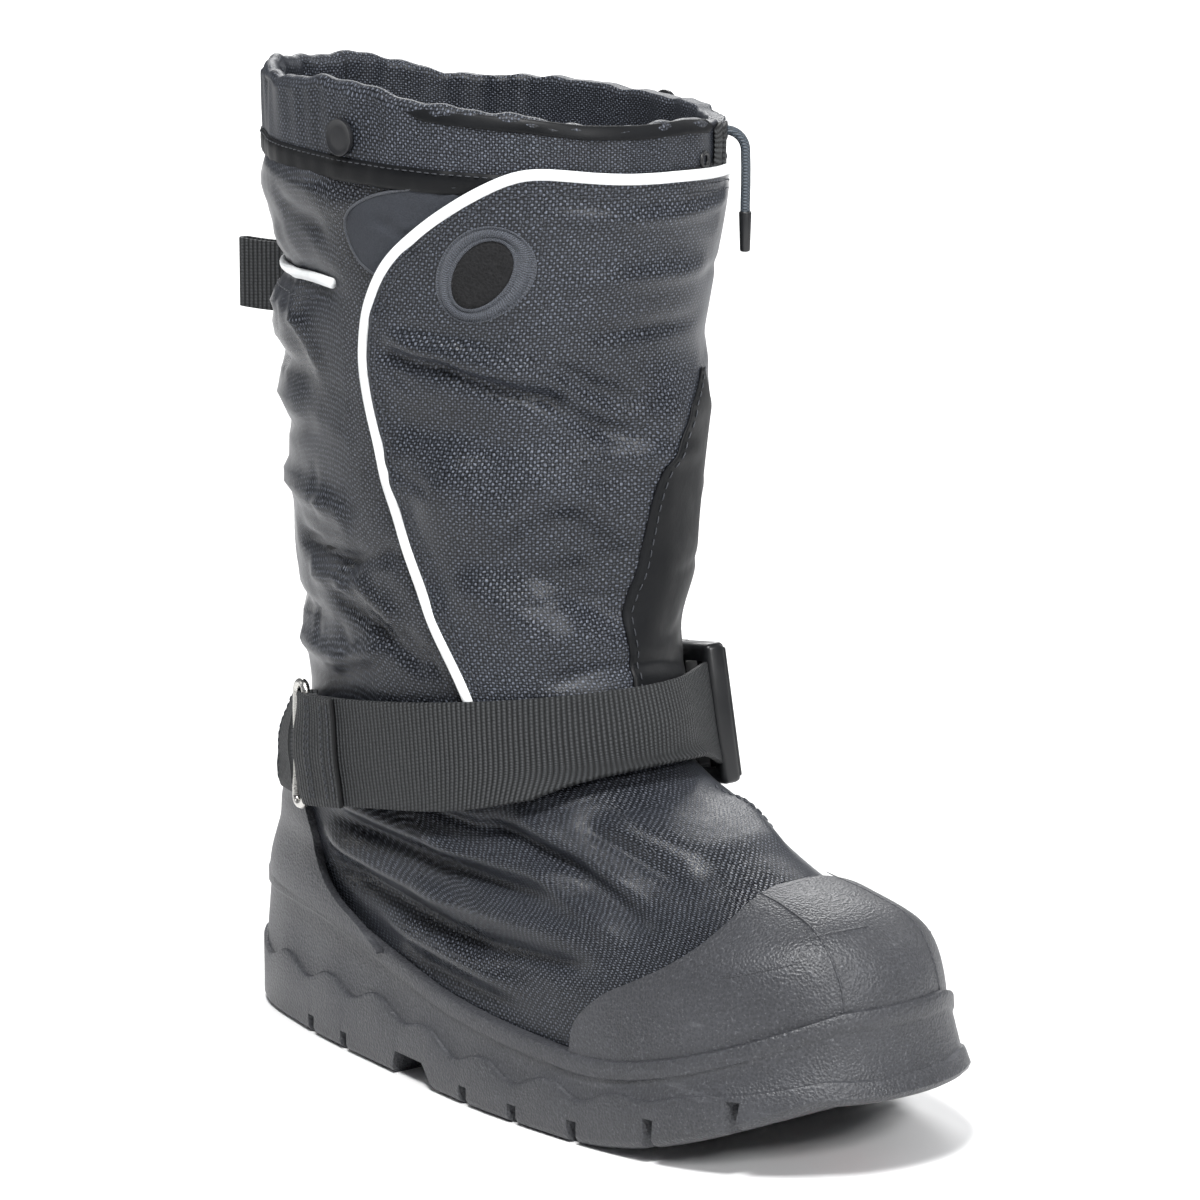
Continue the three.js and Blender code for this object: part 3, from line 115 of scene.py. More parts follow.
# Soft folds of the cloth, in shares of the shaft: side, start, end, width and height. The side is -1 outer,
# 1 inner and 0 both. Width and height are in millimetres; a trough has a negative height.
SHAFT_FOLDS = (
    (0, -0.1, 0.865, 0.5, 0.875, 9, 3.6), (0, -0.1, 0.745, 0.42, 0.745, 6, -4.6),
    (0, 0.0, 0.66, 0.3, 0.65, 7, 2.4), (1, 0.9, 0.6, 0.86, 0.3, 26, 7.0),
    (-1, 0.2, 0.905, 0.46, 0.885, 3, 1.8), (-1, 0.3, 0.855, 0.44, 0.825, 3, -2.0),
    (-1, 0.14, 0.7, 0.36, 0.675, 3.2, 2.6), (-1, 0.29, 0.718, 0.38, 0.625, 2.6, 2.0),
    (-1, 0.1, 0.62, 0.34, 0.6, 3.4, -2.8), (-1, 0.06, 0.56, 0.3, 0.545, 4, 2.6),
    (-1, 0.12, 0.5, 0.33, 0.52, 3, -2.2), (-1, 0.1, 0.43, 0.34, 0.412, 4, 3.4),
    (-1, 0.34, 0.412, 0.43, 0.398, 4, 3.0), (-1, 0.22, 0.348, 0.42, 0.328, 3.0, -4.2),
    (-1, 0.42, 0.328, 0.57, 0.362, 2.8, -3.4), (-1, 0.28, 0.3, 0.42, 0.288, 3.4, 2.8),
    (-1, 0.36, 0.282, 0.5, 0.24, 2.6, -2.6), (-1, 0.5, 0.24, 0.62, 0.194, 2.6, -3.0),
    (-1, 0.44, 0.305, 0.57, 0.252, 2.6, 2.4), (-1, 0.56, 0.25, 0.66, 0.194, 2.4, -2.2),
    (-1, 0.16, 0.18, 0.36, 0.176, 4, 2.8), (-1, 0.36, 0.176, 0.5, 0.205, 3.4, 2.4),
    (-1, 0.1, 0.24, 0.3, 0.232, 3.4, -2.6), (-1, 0.62, 0.66, 0.74, 0.646, 2.6, -3.0),
    (-1, 0.74, 0.646, 0.879, 0.605, 2.4, -3.6), (-1, 0.879, 0.605, 0.93, 0.534, 2.4, -3.2),
    (-1, 0.66, 0.68, 0.88, 0.64, 5.0, 2.6), (-1, 0.9, 0.65, 0.94, 0.58, 2.6, -2.8),
    (-1, 0.6, 0.44, 0.68, 0.31, 8, -3.0), (-1, 0.86, 0.5, 0.93, 0.38, 7, 3.0),
    (-1, 0.88, 0.36, 0.93, 0.26, 5, -2.4), (-1, 0.64, 0.7, 0.8, 0.69, 2.4, -1.5),
    (-1, 0.876, 0.435, 0.905, 0.365, 2.4, -2.0), (-1, 0.84, 0.353, 0.92, 0.272, 3.0, -1.6),
    (-1, 0.7, 0.48, 0.82, 0.42, 13, 4.2), (-1, 0.74, 0.33, 0.88, 0.24, 8, 3.6),
    (-1, 0.62, 0.56, 0.8, 0.55, 8, -3.0), (0, 0.93, 0.87, 1.1, 0.84, 3, 1.6),
    (0, 0.94, 0.77, 1.1, 0.8, 3.4, 1.8), (0, 0.94, 0.7, 1.1, 0.72, 3, -2.0),
    (0, 0.9, 0.51, 1.08, 0.54, 4, 1.8), (0, 0.88, 0.19, 1.0, 0.23, 3, -1.8),
    (1, 0.45, 0.7, 0.74, 0.65, 4, 2.0), (1, 0.4, 0.52, 0.68, 0.46, 3.6, -3.0),
    (1, 0.42, 0.46, 0.66, 0.39, 4, 2.6), (1, 0.26, 0.36, 0.62, 0.3, 3.4, -3.2),
    (1, 0.2, 0.44, 0.62, 0.4, 4, 2.8), (1, 0.1, 0.62, 0.42, 0.57, 4, 2.6),
    (1, 0.12, 0.55, 0.4, 0.5, 3.4, -2.6), (1, 0.2, 0.26, 0.5, 0.2, 3.4, 3.0),
    (1, 0.3, 0.215, 0.62, 0.165, 3.0, -2.6), (1, 0.45, 0.22, 0.68, 0.25, 4, 2.4),
)
# Folds of the vamp, in the same way in shares of the foot.
VAMP_FOLDS = (
    (-1, 0.27, 0.9, 0.46, 0.83, 3.6, 4.0), (-1, 0.46, 0.83, 0.63, 0.8, 3.8, 3.4),
    (-1, 0.28, 0.8, 0.58, 0.735, 3.0, -4.2), (-1, 0.24, 0.71, 0.45, 0.63, 4.0, 4.2),
    (-1, 0.45, 0.63, 0.67, 0.605, 4.4, 4.0), (-1, 0.26, 0.585, 0.5, 0.49, 3.2, -5.0),
    (-1, 0.5, 0.49, 0.68, 0.505, 3.2, -4.0), (-1, 0.36, 0.45, 0.57, 0.37, 4, 3.2),
    (-1, 0.42, 0.33, 0.6, 0.27, 3, -1.8), (-1, 0.52, 0.96, 0.64, 0.86, 2.6, -3.4),
    (-1, 0.64, 0.86, 0.745, 0.7, 2.4, -3.0), (-1, 0.57, 0.99, 0.71, 0.8, 3.0, 3.0),
    (-1, 0.64, 1.0, 0.76, 0.84, 2.4, -2.6), (-1, 0.6, 0.78, 0.72, 0.64, 3.0, 2.4),
    (-1, 0.34, 1.06, 0.5, 0.98, 3.0, 2.6), (-1, 0.36, 0.98, 0.54, 0.93, 2.6, -2.4),
    (1, 0.3, 0.86, 0.58, 0.78, 4, 3.8), (1, 0.3, 0.72, 0.6, 0.66, 3.4, -4.0),
    (1, 0.32, 0.6, 0.64, 0.54, 4, 3.4), (1, 0.4, 0.46, 0.66, 0.42, 3.4, -2.6),
    (1, 0.6, 0.94, 0.76, 0.72, 2.8, -3.0), (1, 0.56, 0.9, 0.7, 0.74, 3.0, 2.6),
    (0, 0.66, 1.02, 0.76, 0.92, 3, 2.0),
)
# The small crumples between the folds: how many, and their seed.
CRUMPLES = 130
CRUMPLE_SEED = 11

# How the drawn collar leans, in millimetres above or below its even height, by turn.
RIM_TURNS = (-3.142, -2.6, -2.0, -1.5, -1.0, -0.5, 0.0, 0.5, 1.0, 1.5, 2.0, 2.6, 3.142)
RIM_RISES = (3, 5.5, 7, 7.5, 5.5, 1.5, -1, -3, -5, -4, -5.5, -3, 3)

# The left edge of the front facing, by height from the strap up.
FACING_TURNS = (-0.08, -0.04, -0.04, 0.02, 0.12, 0.30, 0.50)

# The drawcord's route, in millimetres as in the part's source.
CORD_ROUTE = (
    (142.41, 47.33, 329.25), (143.52, 48.44, 329.07), (144.57, 49.49, 328.55), (145.51, 50.43, 327.70),
    (146.29, 51.21, 326.58), (146.87, 51.79, 325.24), (147.22, 52.14, 323.74), (147.33, 52.25, 322.30),
    (147.38, 52.30, 319.50), (147.43, 52.35, 316.50), (147.43, 52.35, 313.50), (147.43, 52.35, 310.50),
    (147.38, 52.30, 307.50), (147.33, 52.25, 304.50), (147.33, 52.25, 301.50),
)

# The pale rub on the wall in front of the toes, in metres.
TOE_RUB = (0.268, 0.016, 0.026)

OUTER_RING_TURN = -2.03
INNER_RING_TURN = 2.03
BUCKLE_FRONT_TURN = 0.8
FREE_TURN = 0.42
# The strap's middle line: its height over the heel and how it climbs. Lifts of the buckle and the rings.
STRAP_HEIGHT = 105 * MM
STRAP_SLOPE = 0.125
BUCKLE_LIFT = 17 * MM
RING_LIFT = 5 * MM
# Heights on the back, as shares of the shaft.
SEAM_RISE = 0.715
BACK_PIPING_RISE = 0.745
PULL_RISE = 0.695
# The oval window: its middle as shares of the shaft, its half sizes and its lean.
WINDOW_AT = (0.824, 0.785)
WINDOW_HALF_WIDTH = 7.4 * MM
WINDOW_HALF_HEIGHT = 13.4 * MM
WINDOW_LEAN = 0.52


# The lengths of the panel, in millimetres.
LENGTHS = {
    "foot_length": (307, "Length of the upper at the sole"),
    "heel_reach": (33, "How far the upper reaches behind the origin"),
    "ball_half_width": (55, "Half width of the upper at the ball"),
    "footbed_height": (14, "Height of the feather edge"),
    "instep_height": (101, "Height where the vamp meets the shaft"),
    "toe_spring": (27, "How far the toe is raised"),
    "toe_turn_in": (7, "How far the toe lies to the inner side"),
    "collar_length": (174, "Length of the collar from front to back"),
    "collar_reach": (14, "How far the collar reaches behind the origin"),
    "collar_half_width": (70, "Half width of the collar"),
    "boot_height": (339, "Height of the collar at the back"),
    "upper_wall": (2.4, "Thickness of the shaft's wall"),
    "sole_edge": (8, "How far the tread stands out beyond the upper"),
    "toe_flare": (5, "How much further it stands out at the toe"),
    "heel_flare": (3, "How much further it stands out at the heel"),
    "heel_wall": (52, "Height of the rubber side wall at the heel"),
    "lug_depth": (7, "Depth of the tread"),
    "groove_width": (4.5, "Width of the tread's grooves"),
    "rubber_skin": (3.2, "Thickness of the toe cap and heel counter"),
    "gap": (0.3, "Clearance between pieces that lie on each other"),
    "cuff_drop": (23, "How far the turned collar reaches down outside"),
    "cuff_inside": (62, "How far the collar reaches down inside"),
    "flap_skin": (2.2, "Thickness of the wrapped flap"),
    "piping_width": (4, "Width of the reflective piping"),
    "webbing_width": (38, "Width of the instep strap"),
    "webbing_skin": (2, "Thickness of the instep strap"),
    "buckle_length": (76, "Length of the fastened buckle"),
    "buckle_width": (50, "Width of the buckle"),
    "buckle_thickness": (11, "Thickness of the buckle"),
    "ring_wire": (3.2, "Diameter of the ring's wire"),
    "ring_length": (15, "Length of the ring along the strap"),
    "snap_radius": (6.3, "Radius of the snap caps"),
    "cord_diameter": (3.4, "Diameter of the drawcord"),
}
COLOURS = {
    "shell": ((0.0105, 0.0115, 0.0140), "Coated cloth of the shaft"),
    "flap": ((0.0115, 0.0128, 0.0160), "Coated cloth of the flap"),
    "lining": ((0.006, 0.006, 0.0065), "Cloth of the inside"),
    # Binding tape; on the front facing its dark tone is partly painted shade.
    "tape": ((0.0055, 0.006, 0.007), "Smooth binding tape"),
    "rubber": ((0.031, 0.032, 0.036), "Rubber bottom and guards"),
    "grip": ((0.45, 0.035, 0.03), "Red plugs in the tread"),
    "piping": ((0.93, 0.95, 0.95), "Reflective piping"),
    "hook": ((0.030, 0.033, 0.040), "Hook tape"),
    "webbing": ((0.0095, 0.010, 0.0105), "Strap and loops"),
    "plastic": ((0.009, 0.0095, 0.0105), "Buckle and snaps"),
    "cord": ((0.040, 0.052, 0.066), "Drawcord"),
    "thread": ((0.026, 0.029, 0.036), "Stitches and the badge's border"),
    "binding": ((0.007, 0.010, 0.022), "Binding on the heel counter's top"),
}


def titled(key, text):
    return {"name": key.replace("_", " ").title(), "description": text}


class OvershoeSizes(bpy.types.PropertyGroup):
    __annotations__ = {
        key: bpy.props.FloatProperty(**titled(key, text), default=size * MM, unit="LENGTH", precision=4)
        for key, (size, text) in LENGTHS.items()
    }


class OvershoeColours(bpy.types.PropertyGroup):
    __annotations__ = {
        key: bpy.props.FloatVectorProperty(
            **titled(key, text), default=colour, subtype="COLOR", size=3, min=0, max=1
        )
        for key, (colour, text) in COLOURS.items()
    }


def all_round(count, first=0.0):
    """Angles of a whole turn, without the last one."""
    return np.linspace(first, first + 2 * math.pi, count, endpoint=False)


def clamp(value):
    return np.clip(value, 0, 1)


def smooth(value):
    share = clamp(value)
    return share * share * (3 - 2 * share)


def between(table, place):
    """The table's values at a row number, on a smooth curve through its rows."""
    place = np.asarray(place, float)
    last = len(table) - 1
    i = np.clip(np.floor(place).astype(int), 0, last - 1)
    f = (place - i)[..., None]
    a, b = table[i], table[i + 1]
    slope_a = (b - table[np.maximum(0, i - 1)]) / np.where(i > 0, 2, 1)[..., None]
    slope_b = (table[np.minimum(last, i + 2)] - a) / np.where(i < last - 1, 2, 1)[..., None]
    bend = f * f * (3 - 2 * f)
    return a + (b - a) * bend + slope_a * f * (1 - f) ** 2 - slope_b * f * f * (1 - f)


def unit(vectors):
    return vectors / np.maximum(np.linalg.norm(vectors, axis=-1, keepdims=True), 1e-12)


def grid_normals(points):
    return unit(np.cross(np.gradient(points, axis=0), np.gradient(points, axis=1)))


def along(points):
    """Distance of each point from the first, along the line."""
    steps = np.linalg.norm(np.diff(points, axis=0), axis=1)
    return np.concatenate([[0], np.cumsum(steps)])


def resample(points, count):
    """Points laid evenly on a line."""
    run = along(points)
    at = np.linspace(0, run[-1], count)
    return np.stack([np.interp(at, run, points[:, k]) for k in range(points.shape[1])], -1)


def evened(line, reach):
    """The line with its sudden bends averaged out over some points each way."""
    before, after = 2 * line[0] - line[reach:0:-1], 2 * line[-1] - line[-2 : -reach - 2 : -1]
    padded = np.concatenate([before, line, after])
    weights = np.hanning(2 * reach + 1)
    weights /= weights.sum()
    return np.stack([np.convolve(padded[:, k], weights, "valid") for k in range(3)], -1)


def curve(points, count):
    """A smooth line through points, with its points laid evenly."""
    table = np.array(points, float)
    fine = between(table, np.linspace(0, len(table) - 1, 12 * len(table)))
    return resample(fine, count)


class Last:
    """The boot's outer surface. turn runs from 0 in front to +-pi behind, and is positive on the inner
    side. place is the row number of the sections, from 0 at the sole to the collar."""

    def __init__(self, sizes):
        self.s = s = sizes
        foot = {k: np.array(v, float) for k, v in FOOT.items()}
        shaft = {k: np.array(v, float) for k, v in SHAFT.items()}
        count = len(shaft["front"])
        plain = {"widest": 0.5, "blunt": 2.1, "waist": 0, "spring": 0, "turn_in": 0}
        rise, height = s.instep_height - s.footbed_height, s.boot_height - s.instep_height
        columns = [
            (foot["front"] * s.foot_length - s.heel_reach, shaft["front"] * s.collar_length - s.collar_reach),
            (s.footbed_height + foot["front_rise"] * rise, s.instep_height + shaft["front_rise"] * height),
            (foot["back"] * s.foot_length - s.heel_reach, shaft["back"] * s.collar_length - s.collar_reach),
            (s.footbed_height + foot["back_rise"] * rise, s.instep_height + shaft["back_rise"] * height),
            (foot["out"] * s.ball_half_width, shaft["out"] * s.collar_half_width),
            (foot["in"] * s.ball_half_width, shaft["in"] * s.collar_half_width),
        ]
        columns += [(foot[k], np.full(count, v)) for k, v in plain.items()]
        self.table = np.stack([np.concatenate(c) for c in columns], -1)
        self.collar = len(self.table) - 1
        self.toe_x = self.table[1, 0]
        self.spring_start = self.toe_x - 0.3 * s.foot_length
        self.sole_back = self.table[0, 2] - s.sole_edge - s.heel_flare
        self.sole_front = self.table[0, 0] + s.sole_edge + s.toe_flare
        self.sole_length = self.sole_front - self.sole_back
        self.wall = np.stack([np.array(WALL[k]) for k in ("rim", "wave")], -1)
        self.fold_lines = self.laid_folds()
        self.measure_cloth()

    def on_shaft(self, share, rise):
        s = self.s
        return share * s.collar_length - s.collar_reach, s.instep_height + rise * (s.boot_height - s.instep_height)

    def on_foot(self, share, rise):
        s = self.s
        return share * s.foot_length - s.heel_reach, s.footbed_height + rise * (s.instep_height - s.footbed_height)

    def laid_folds(self):
        rows = []
        for folds, to_side_view in ((SHAFT_FOLDS, self.on_shaft), (VAMP_FOLDS, self.on_foot)):
            for side, ax, az, bx, bz, width, height in folds:
                rows.append((side, *to_side_view(ax, az), *to_side_view(bx, bz), width * MM, height * MM))
        chance = np.random.default_rng(CRUMPLE_SEED)
        for _ in range(CRUMPLES):
            x, z = self.on_shaft(chance.uniform(-0.05, 0.95), chance.uniform(-0.1, 0.9))
            lean, reach = chance.normal(-0.15, 0.45), chance.uniform(4, 13) * MM
            dx, dz = reach * math.cos(lean), reach * math.sin(lean)
            height = chance.choice((-1, 1)) * chance.uniform(0.4, 0.9) * MM
            side = chance.choice((-1, 1))
            rows.append((side, x - dx, z - dz, x + dx, z + dz, chance.uniform(1.8, 3.6) * MM, height))
        return np.array(rows)

    def folds(self, points):
        """How far the folds raise the cloth at points of the surface."""
        x, y, z = points[..., 0], points[..., 1], points[..., 2]
        total = np.zeros(x.shape)
        for side, ax, az, bx, bz, width, height in self.fold_lines:
            run = np.array([bx - ax, bz - az])
            length = np.hypot(*run)
            t = ((x - ax) * run[0] + (z - az) * run[1]) / length**2
            off = (-(x - ax) * run[1] + (z - az) * run[0]) / length
            ends = smooth((t + 0.25) / 0.4) * smooth((1.25 - t) / 0.4)
            here = smooth(side * y / (25 * MM) + 0.5) if side else 1.0
            total += height * here * ends * np.exp(-((off / width) ** 2))
        waves = np.sin(x / 0.021 + 1.3 * np.sin(z / 0.033)) * np.sin(z / 0.027 + y / 0.03)
        return total + 0.45 * MM * waves

    def spring_at(self, x):
        return self.s.toe_spring * clamp((x - self.spring_start) / (self.toe_x - self.spring_start)) ** 1.7

    def skin(self, turn, place):
        turn, place = np.broadcast_arrays(np.asarray(turn, float), np.asarray(place, float))
        row = np.moveaxis(between(self.table, place), -1, 0)
        front_x, front_z, back_x, back_z, out, inner, widest, blunt, waist, spring, turn_in = row
        cos, sin = np.cos(turn), np.sin(turn)
        reach = np.abs(cos) ** (2 / blunt)
        share = widest + np.where(cos > 0, (1 - widest) * reach, -widest * reach)
        half = np.where(sin > 0, inner, out)
        pinch = 1 - waist * np.exp(-(((share - 0.36) / 0.16) ** 2))
        heel = 1 - 1.1 * waist * smooth((0.42 - share) / 0.3)
        y = np.sign(sin) * half * np.abs(sin) ** (2 / blunt) * pinch * heel
        x = back_x + share * (front_x - back_x)
        aside = turn_in * self.s.toe_turn_in * smooth((share - 0.3) / 0.6)
        z = back_z + share * (front_z - back_z) + spring * self.spring_at(x)
        return np.stack([x, y + aside, z], -1)

    def normal(self, turn, place):
        step = 0.02
        place = np.asarray(place, float)
        round_ = self.skin(turn + step, place) - self.skin(turn - step, place)
        up = self.skin(turn, np.minimum(self.collar, place + step)) - self.skin(turn, np.maximum(0, place - step))
        return unit(np.cross(round_, up))

    def lifted(self, turn, place, lift=0.0, soft=0.0):
        """Points at a height above the surface. soft is the share of the cloth's folds they follow."""
        points = self.skin(turn, place)
        rise = np.asarray(lift) + np.asarray(soft) * self.folds(points)
        return points + self.normal(turn, place) * np.broadcast_to(rise, points.shape[:-1])[..., None]

    def track(self, turn, place, lift, soft=0.0):
        """A line on the surface, as lifted, with its outward directions."""
        return self.lifted(turn, place, lift, soft), self.normal(turn, place)

    def place_at(self, turn, height_of):
        """The row number where the surface at a turn crosses a height that depends on x."""
        turn = np.asarray(turn, float)
        low, high = np.zeros(turn.shape), np.full(turn.shape, float(self.collar))
        for _ in range(26):
            middle = (low + high) / 2
            p = self.skin(turn, middle)
            below = p[..., 2] < height_of(p[..., 0])
            low, high = np.where(below, middle, low), np.where(below, high, middle)
        return (low + high) / 2

    def level(self, turn, height):
        """The row number where the surface at a turn crosses a height."""
        return self.place_at(turn, lambda _: height)

    def find(self, side, x, z):
        """Turn and row number of the surface at side-view points, on the outer (-1) or inner (1) side."""
        x, z = np.broadcast_arrays(np.asarray(x, float), np.asarray(z, float))
        near, far = np.full(x.shape, 0.0005), np.full(x.shape, math.pi - 0.0005)
        for _ in range(24):
            middle = (near + far) / 2
            p = self.skin(side * middle, self.level(side * middle, z))
            ahead = p[..., 0] > x
            near, far = np.where(ahead, middle, near), np.where(ahead, far, middle)
        turn = side * (near + far) / 2
        return np.stack([turn, self.level(turn, z)], -1)

    def measure_cloth(self):
        """Distances round and up the surface, for the weave to follow."""
        self.turns = np.linspace(-math.pi, math.pi, 241)
        self.places = np.linspace(0, self.collar, 129)
        p = self.skin(self.turns[:, None], self.places[None, :])
        round_ = np.linalg.norm(np.diff(p, axis=0), axis=-1)
        up = np.linalg.norm(np.diff(p, axis=1), axis=-1)
        self.round = np.concatenate([np.zeros((1, len(self.places))), np.cumsum(round_, 0)])
        self.round -= self.round[120]
        self.up = np.concatenate([np.zeros((len(self.turns), 1)), np.cumsum(up, 1)], 1)

    def cloth_uv(self, turn, place):
        turn, place = np.broadcast_arrays(turn, place)
        a = np.clip((turn + math.pi) / (2 * math.pi) * 240, 0, 239.999)
        b = np.clip(place / self.collar * 128, 0, 127.999)
        i, j = a.astype(int), b.astype(int)
        f, g = a - i, b - j

        def read(t):
            low = t[i, j] * (1 - g) + t[i, j + 1] * g
            high = t[i + 1, j] * (1 - g) + t[i + 1, j + 1] * g
            return low * (1 - f) + high * f

        return np.stack([read(self.round), read(self.up)], -1)

    # The sole
    def tread_height(self, x):
        bevel = clamp((self.sole_back + 0.05 * self.sole_length - x) / (0.05 * self.sole_length))
        return self.spring_at(x) + 0.6 * self.s.lug_depth * bevel * bevel

    def wall_at(self, x):
        share = clamp((np.asarray(x) - self.sole_back) / self.sole_length)
        place = np.interp(share, WALL["at"], np.arange(len(WALL["at"])))
        return between(self.wall, place) * self.s.heel_wall

    def rim_height(self, x):
        return self.spring_at(x) + self.wall_at(x)[..., 0]

    def wave_height(self, x):
        calm = 1 - smooth((x - self.spring_start) / (0.2 * self.s.foot_length))
        wave = np.sin(2 * math.pi * (x - self.sole_back) / (34 * MM))
        return self.spring_at(x) + self.wall_at(x)[..., 1] + 2.6 * MM * calm * wave

    def sole_loop(self, turn, offset, height_of, toe_share=1.0):
        """A loop round the sole at an offset from the feather edge."""
        s = self.s
        p = self.skin(turn, 0)
        ahead = self.skin(turn + 0.02, 0) - self.skin(turn - 0.02, 0)
        outward = unit(np.stack([ahead[:, 1], -ahead[:, 0], np.zeros(len(turn))], -1))
        reach = 0.15 * s.foot_length
        toe = s.toe_flare * smooth((p[:, 0] - self.spring_start) / (self.toe_x - self.spring_start))
        heel = s.heel_flare * smooth((reach - s.heel_reach - p[:, 0]) / reach)
        p = p + outward * (offset + toe_share * toe + heel)[:, None]
        p[:, 2] = height_of(p[:, 0])
        return p

    # The strap
    def strap_height(self, x):
        return STRAP_HEIGHT + STRAP_SLOPE * x

    def strap_point(self, turn, lift):
        turn = np.asarray(turn, float)
        return self.lifted(turn, self.place_at(turn, self.strap_height), lift)

    def nearest(self, target, turn, place):
        """Turn and row number of the surface nearest to target points, from a first guess."""
        turn, place = (np.array(v, float) for v in np.broadcast_arrays(turn, place))
        for _ in range(8):
            round_ = (self.skin(turn + 0.01, place) - self.skin(turn - 0.01, place)) / 0.02
            rise = (self.skin(turn, place + 0.02) - self.skin(turn, place - 0.02)) / 0.04
            off = target - self.skin(turn, place)
            rr, uu, ru = (np.sum(a * b, -1) for a, b in ((round_, round_), (rise, rise), (round_, rise)))
            ro, uo = np.sum(round_ * off, -1), np.sum(rise * off, -1)
            scale = rr * uu - ru * ru
            turn, place = turn + (uu * ro - ru * uo) / scale, place + (rr * uo - ru * ro) / scale
        return turn, place

    def strap_grid(self, turn, offset, lift):
        """Points of the strap at turns and offsets from its middle line, each at a lift."""
        turn = np.asarray(turn, float)
        place = self.place_at(turn, self.strap_height)
        middle = self.skin(turn, place)
        run = self.strap_point(turn + 0.01, 0) - self.strap_point(turn - 0.01, 0)
        up = unit(np.cross(run, self.normal(turn, place)))
        up = up * np.sign(up[..., 2:3])
        target = middle[:, None] + up[:, None] * np.asarray(offset)[None, :, None]
        t, p = self.nearest(target, turn[:, None] + 0 * target[..., 0], place[:, None] + 0 * target[..., 0])
        return self.lifted(t, p, lift), self.normal(t, p)

    def turn_beyond(self, turn, distance, lift):
        """The turn where the strap line lies a distance beyond another turn, away from the front."""
        side = math.copysign(1, turn)
        start = self.strap_point(turn, lift)
        near, far = abs(turn), math.pi if distance > 0 else 0.0
        for _ in range(30):
            middle = (near + far) / 2
            close = np.linalg.norm(self.strap_point(side * middle, lift) - start) < abs(distance)
            near, far = (middle, far) if close else (near, middle)
        return side * (near + far) / 2


class Graph:
    """A material whose shader nodes are added one after another."""

    def __init__(self, name, colour, roughness, metallic=0.0, sheen=0.0, coat=0.0, specular=0.5):
        self.material = bpy.data.materials.new(name)
        self.material.use_nodes = True
        self.tree = self.material.node_tree
        self.shader = self.tree.nodes["Principled BSDF"]
        self.colour = (*colour, 1)
        values = {
            "Base Color": self.colour, "Roughness": roughness, "Metallic": metallic, "Sheen Weight": sheen,
            "Sheen Roughness": 0.4, "Coat Weight": coat, "Coat Roughness": 0.3, "Specular IOR Level": specular,
        }
        for socket, value in values.items():
            self.shader.inputs[socket].default_value = value
        self.material.diffuse_color = self.colour

    def put(self, socket, value):
        if isinstance(value, bpy.types.NodeSocket):
            self.tree.links.new(value, socket)
        else:
            socket.default_value = value

    def node(self, kind, inputs, output=0, **settings):
        made = self.tree.nodes.new(kind)
        for key, value in settings.items():
            setattr(made, key, value)
        for key, value in inputs.items():
            self.put(made.inputs[key], value)
        return made.outputs[output]

    def place(self, source="Object", scale=(1, 1, 1), turn=0.0):
        coordinates = self.node("ShaderNodeTexCoord", {}, source)
        return self.node("ShaderNodeMapping", {"Vector": coordinates, "Scale": scale, "Rotation": (0, 0, turn)})

    def math(self, operation, *values):
        return self.node("ShaderNodeMath", dict(enumerate(values)), operation=operation)

    def times(self, a, b):
        return self.math("MULTIPLY", a, b)

    def plus(self, a, b):
        return self.math("ADD", a, b)

    def ripple(self, value):
        """Half waves, one for each whole number."""
        return self.math("ABSOLUTE", self.math("SINE", self.times(value, math.pi)))

    def axes(self, vector):
        split = self.tree.nodes.new("ShaderNodeSeparateXYZ")
        self.put(split.inputs[0], vector)
        return split.outputs

    def noise(self, vector, scale, detail=3.0, roughness=0.55):
        inputs = {"Vector": vector, "Scale": scale, "Detail": detail, "Roughness": roughness}
        return self.node("ShaderNodeTexNoise", inputs, "Fac")

    def span(self, value, low, high, to_low=0.0, to_high=1.0):
        inputs = {"Value": value, "From Min": low, "From Max": high, "To Min": to_low, "To Max": to_high}
        return self.node("ShaderNodeMapRange", inputs)

    def mix(self, factor, a, b):
        return self.node("ShaderNodeMix", {0: factor, 6: a, 7: b}, 2, data_type="RGBA")

    def shade(self, factor, low, high):
        """Colours the surface from a darker to a lighter tone of its own colour."""
        dark, light = ((*(c * k for c in self.colour[:3]), 1) for k in (low, high))
        colour = self.mix(factor, dark, light)
        self.put(self.shader.inputs["Base Color"], colour)
        return colour

    def rough(self, value):
        self.put(self.shader.inputs["Roughness"], value)

    def bump(self, height, distance, strength=1.0, below=None):
        inputs = {"Height": height, "Distance": distance, "Strength": strength}
        if below is not None:
            inputs["Normal"] = below
        made = self.node("ShaderNodeBump", inputs)
        self.put(self.shader.inputs["Normal"], made)
        return made


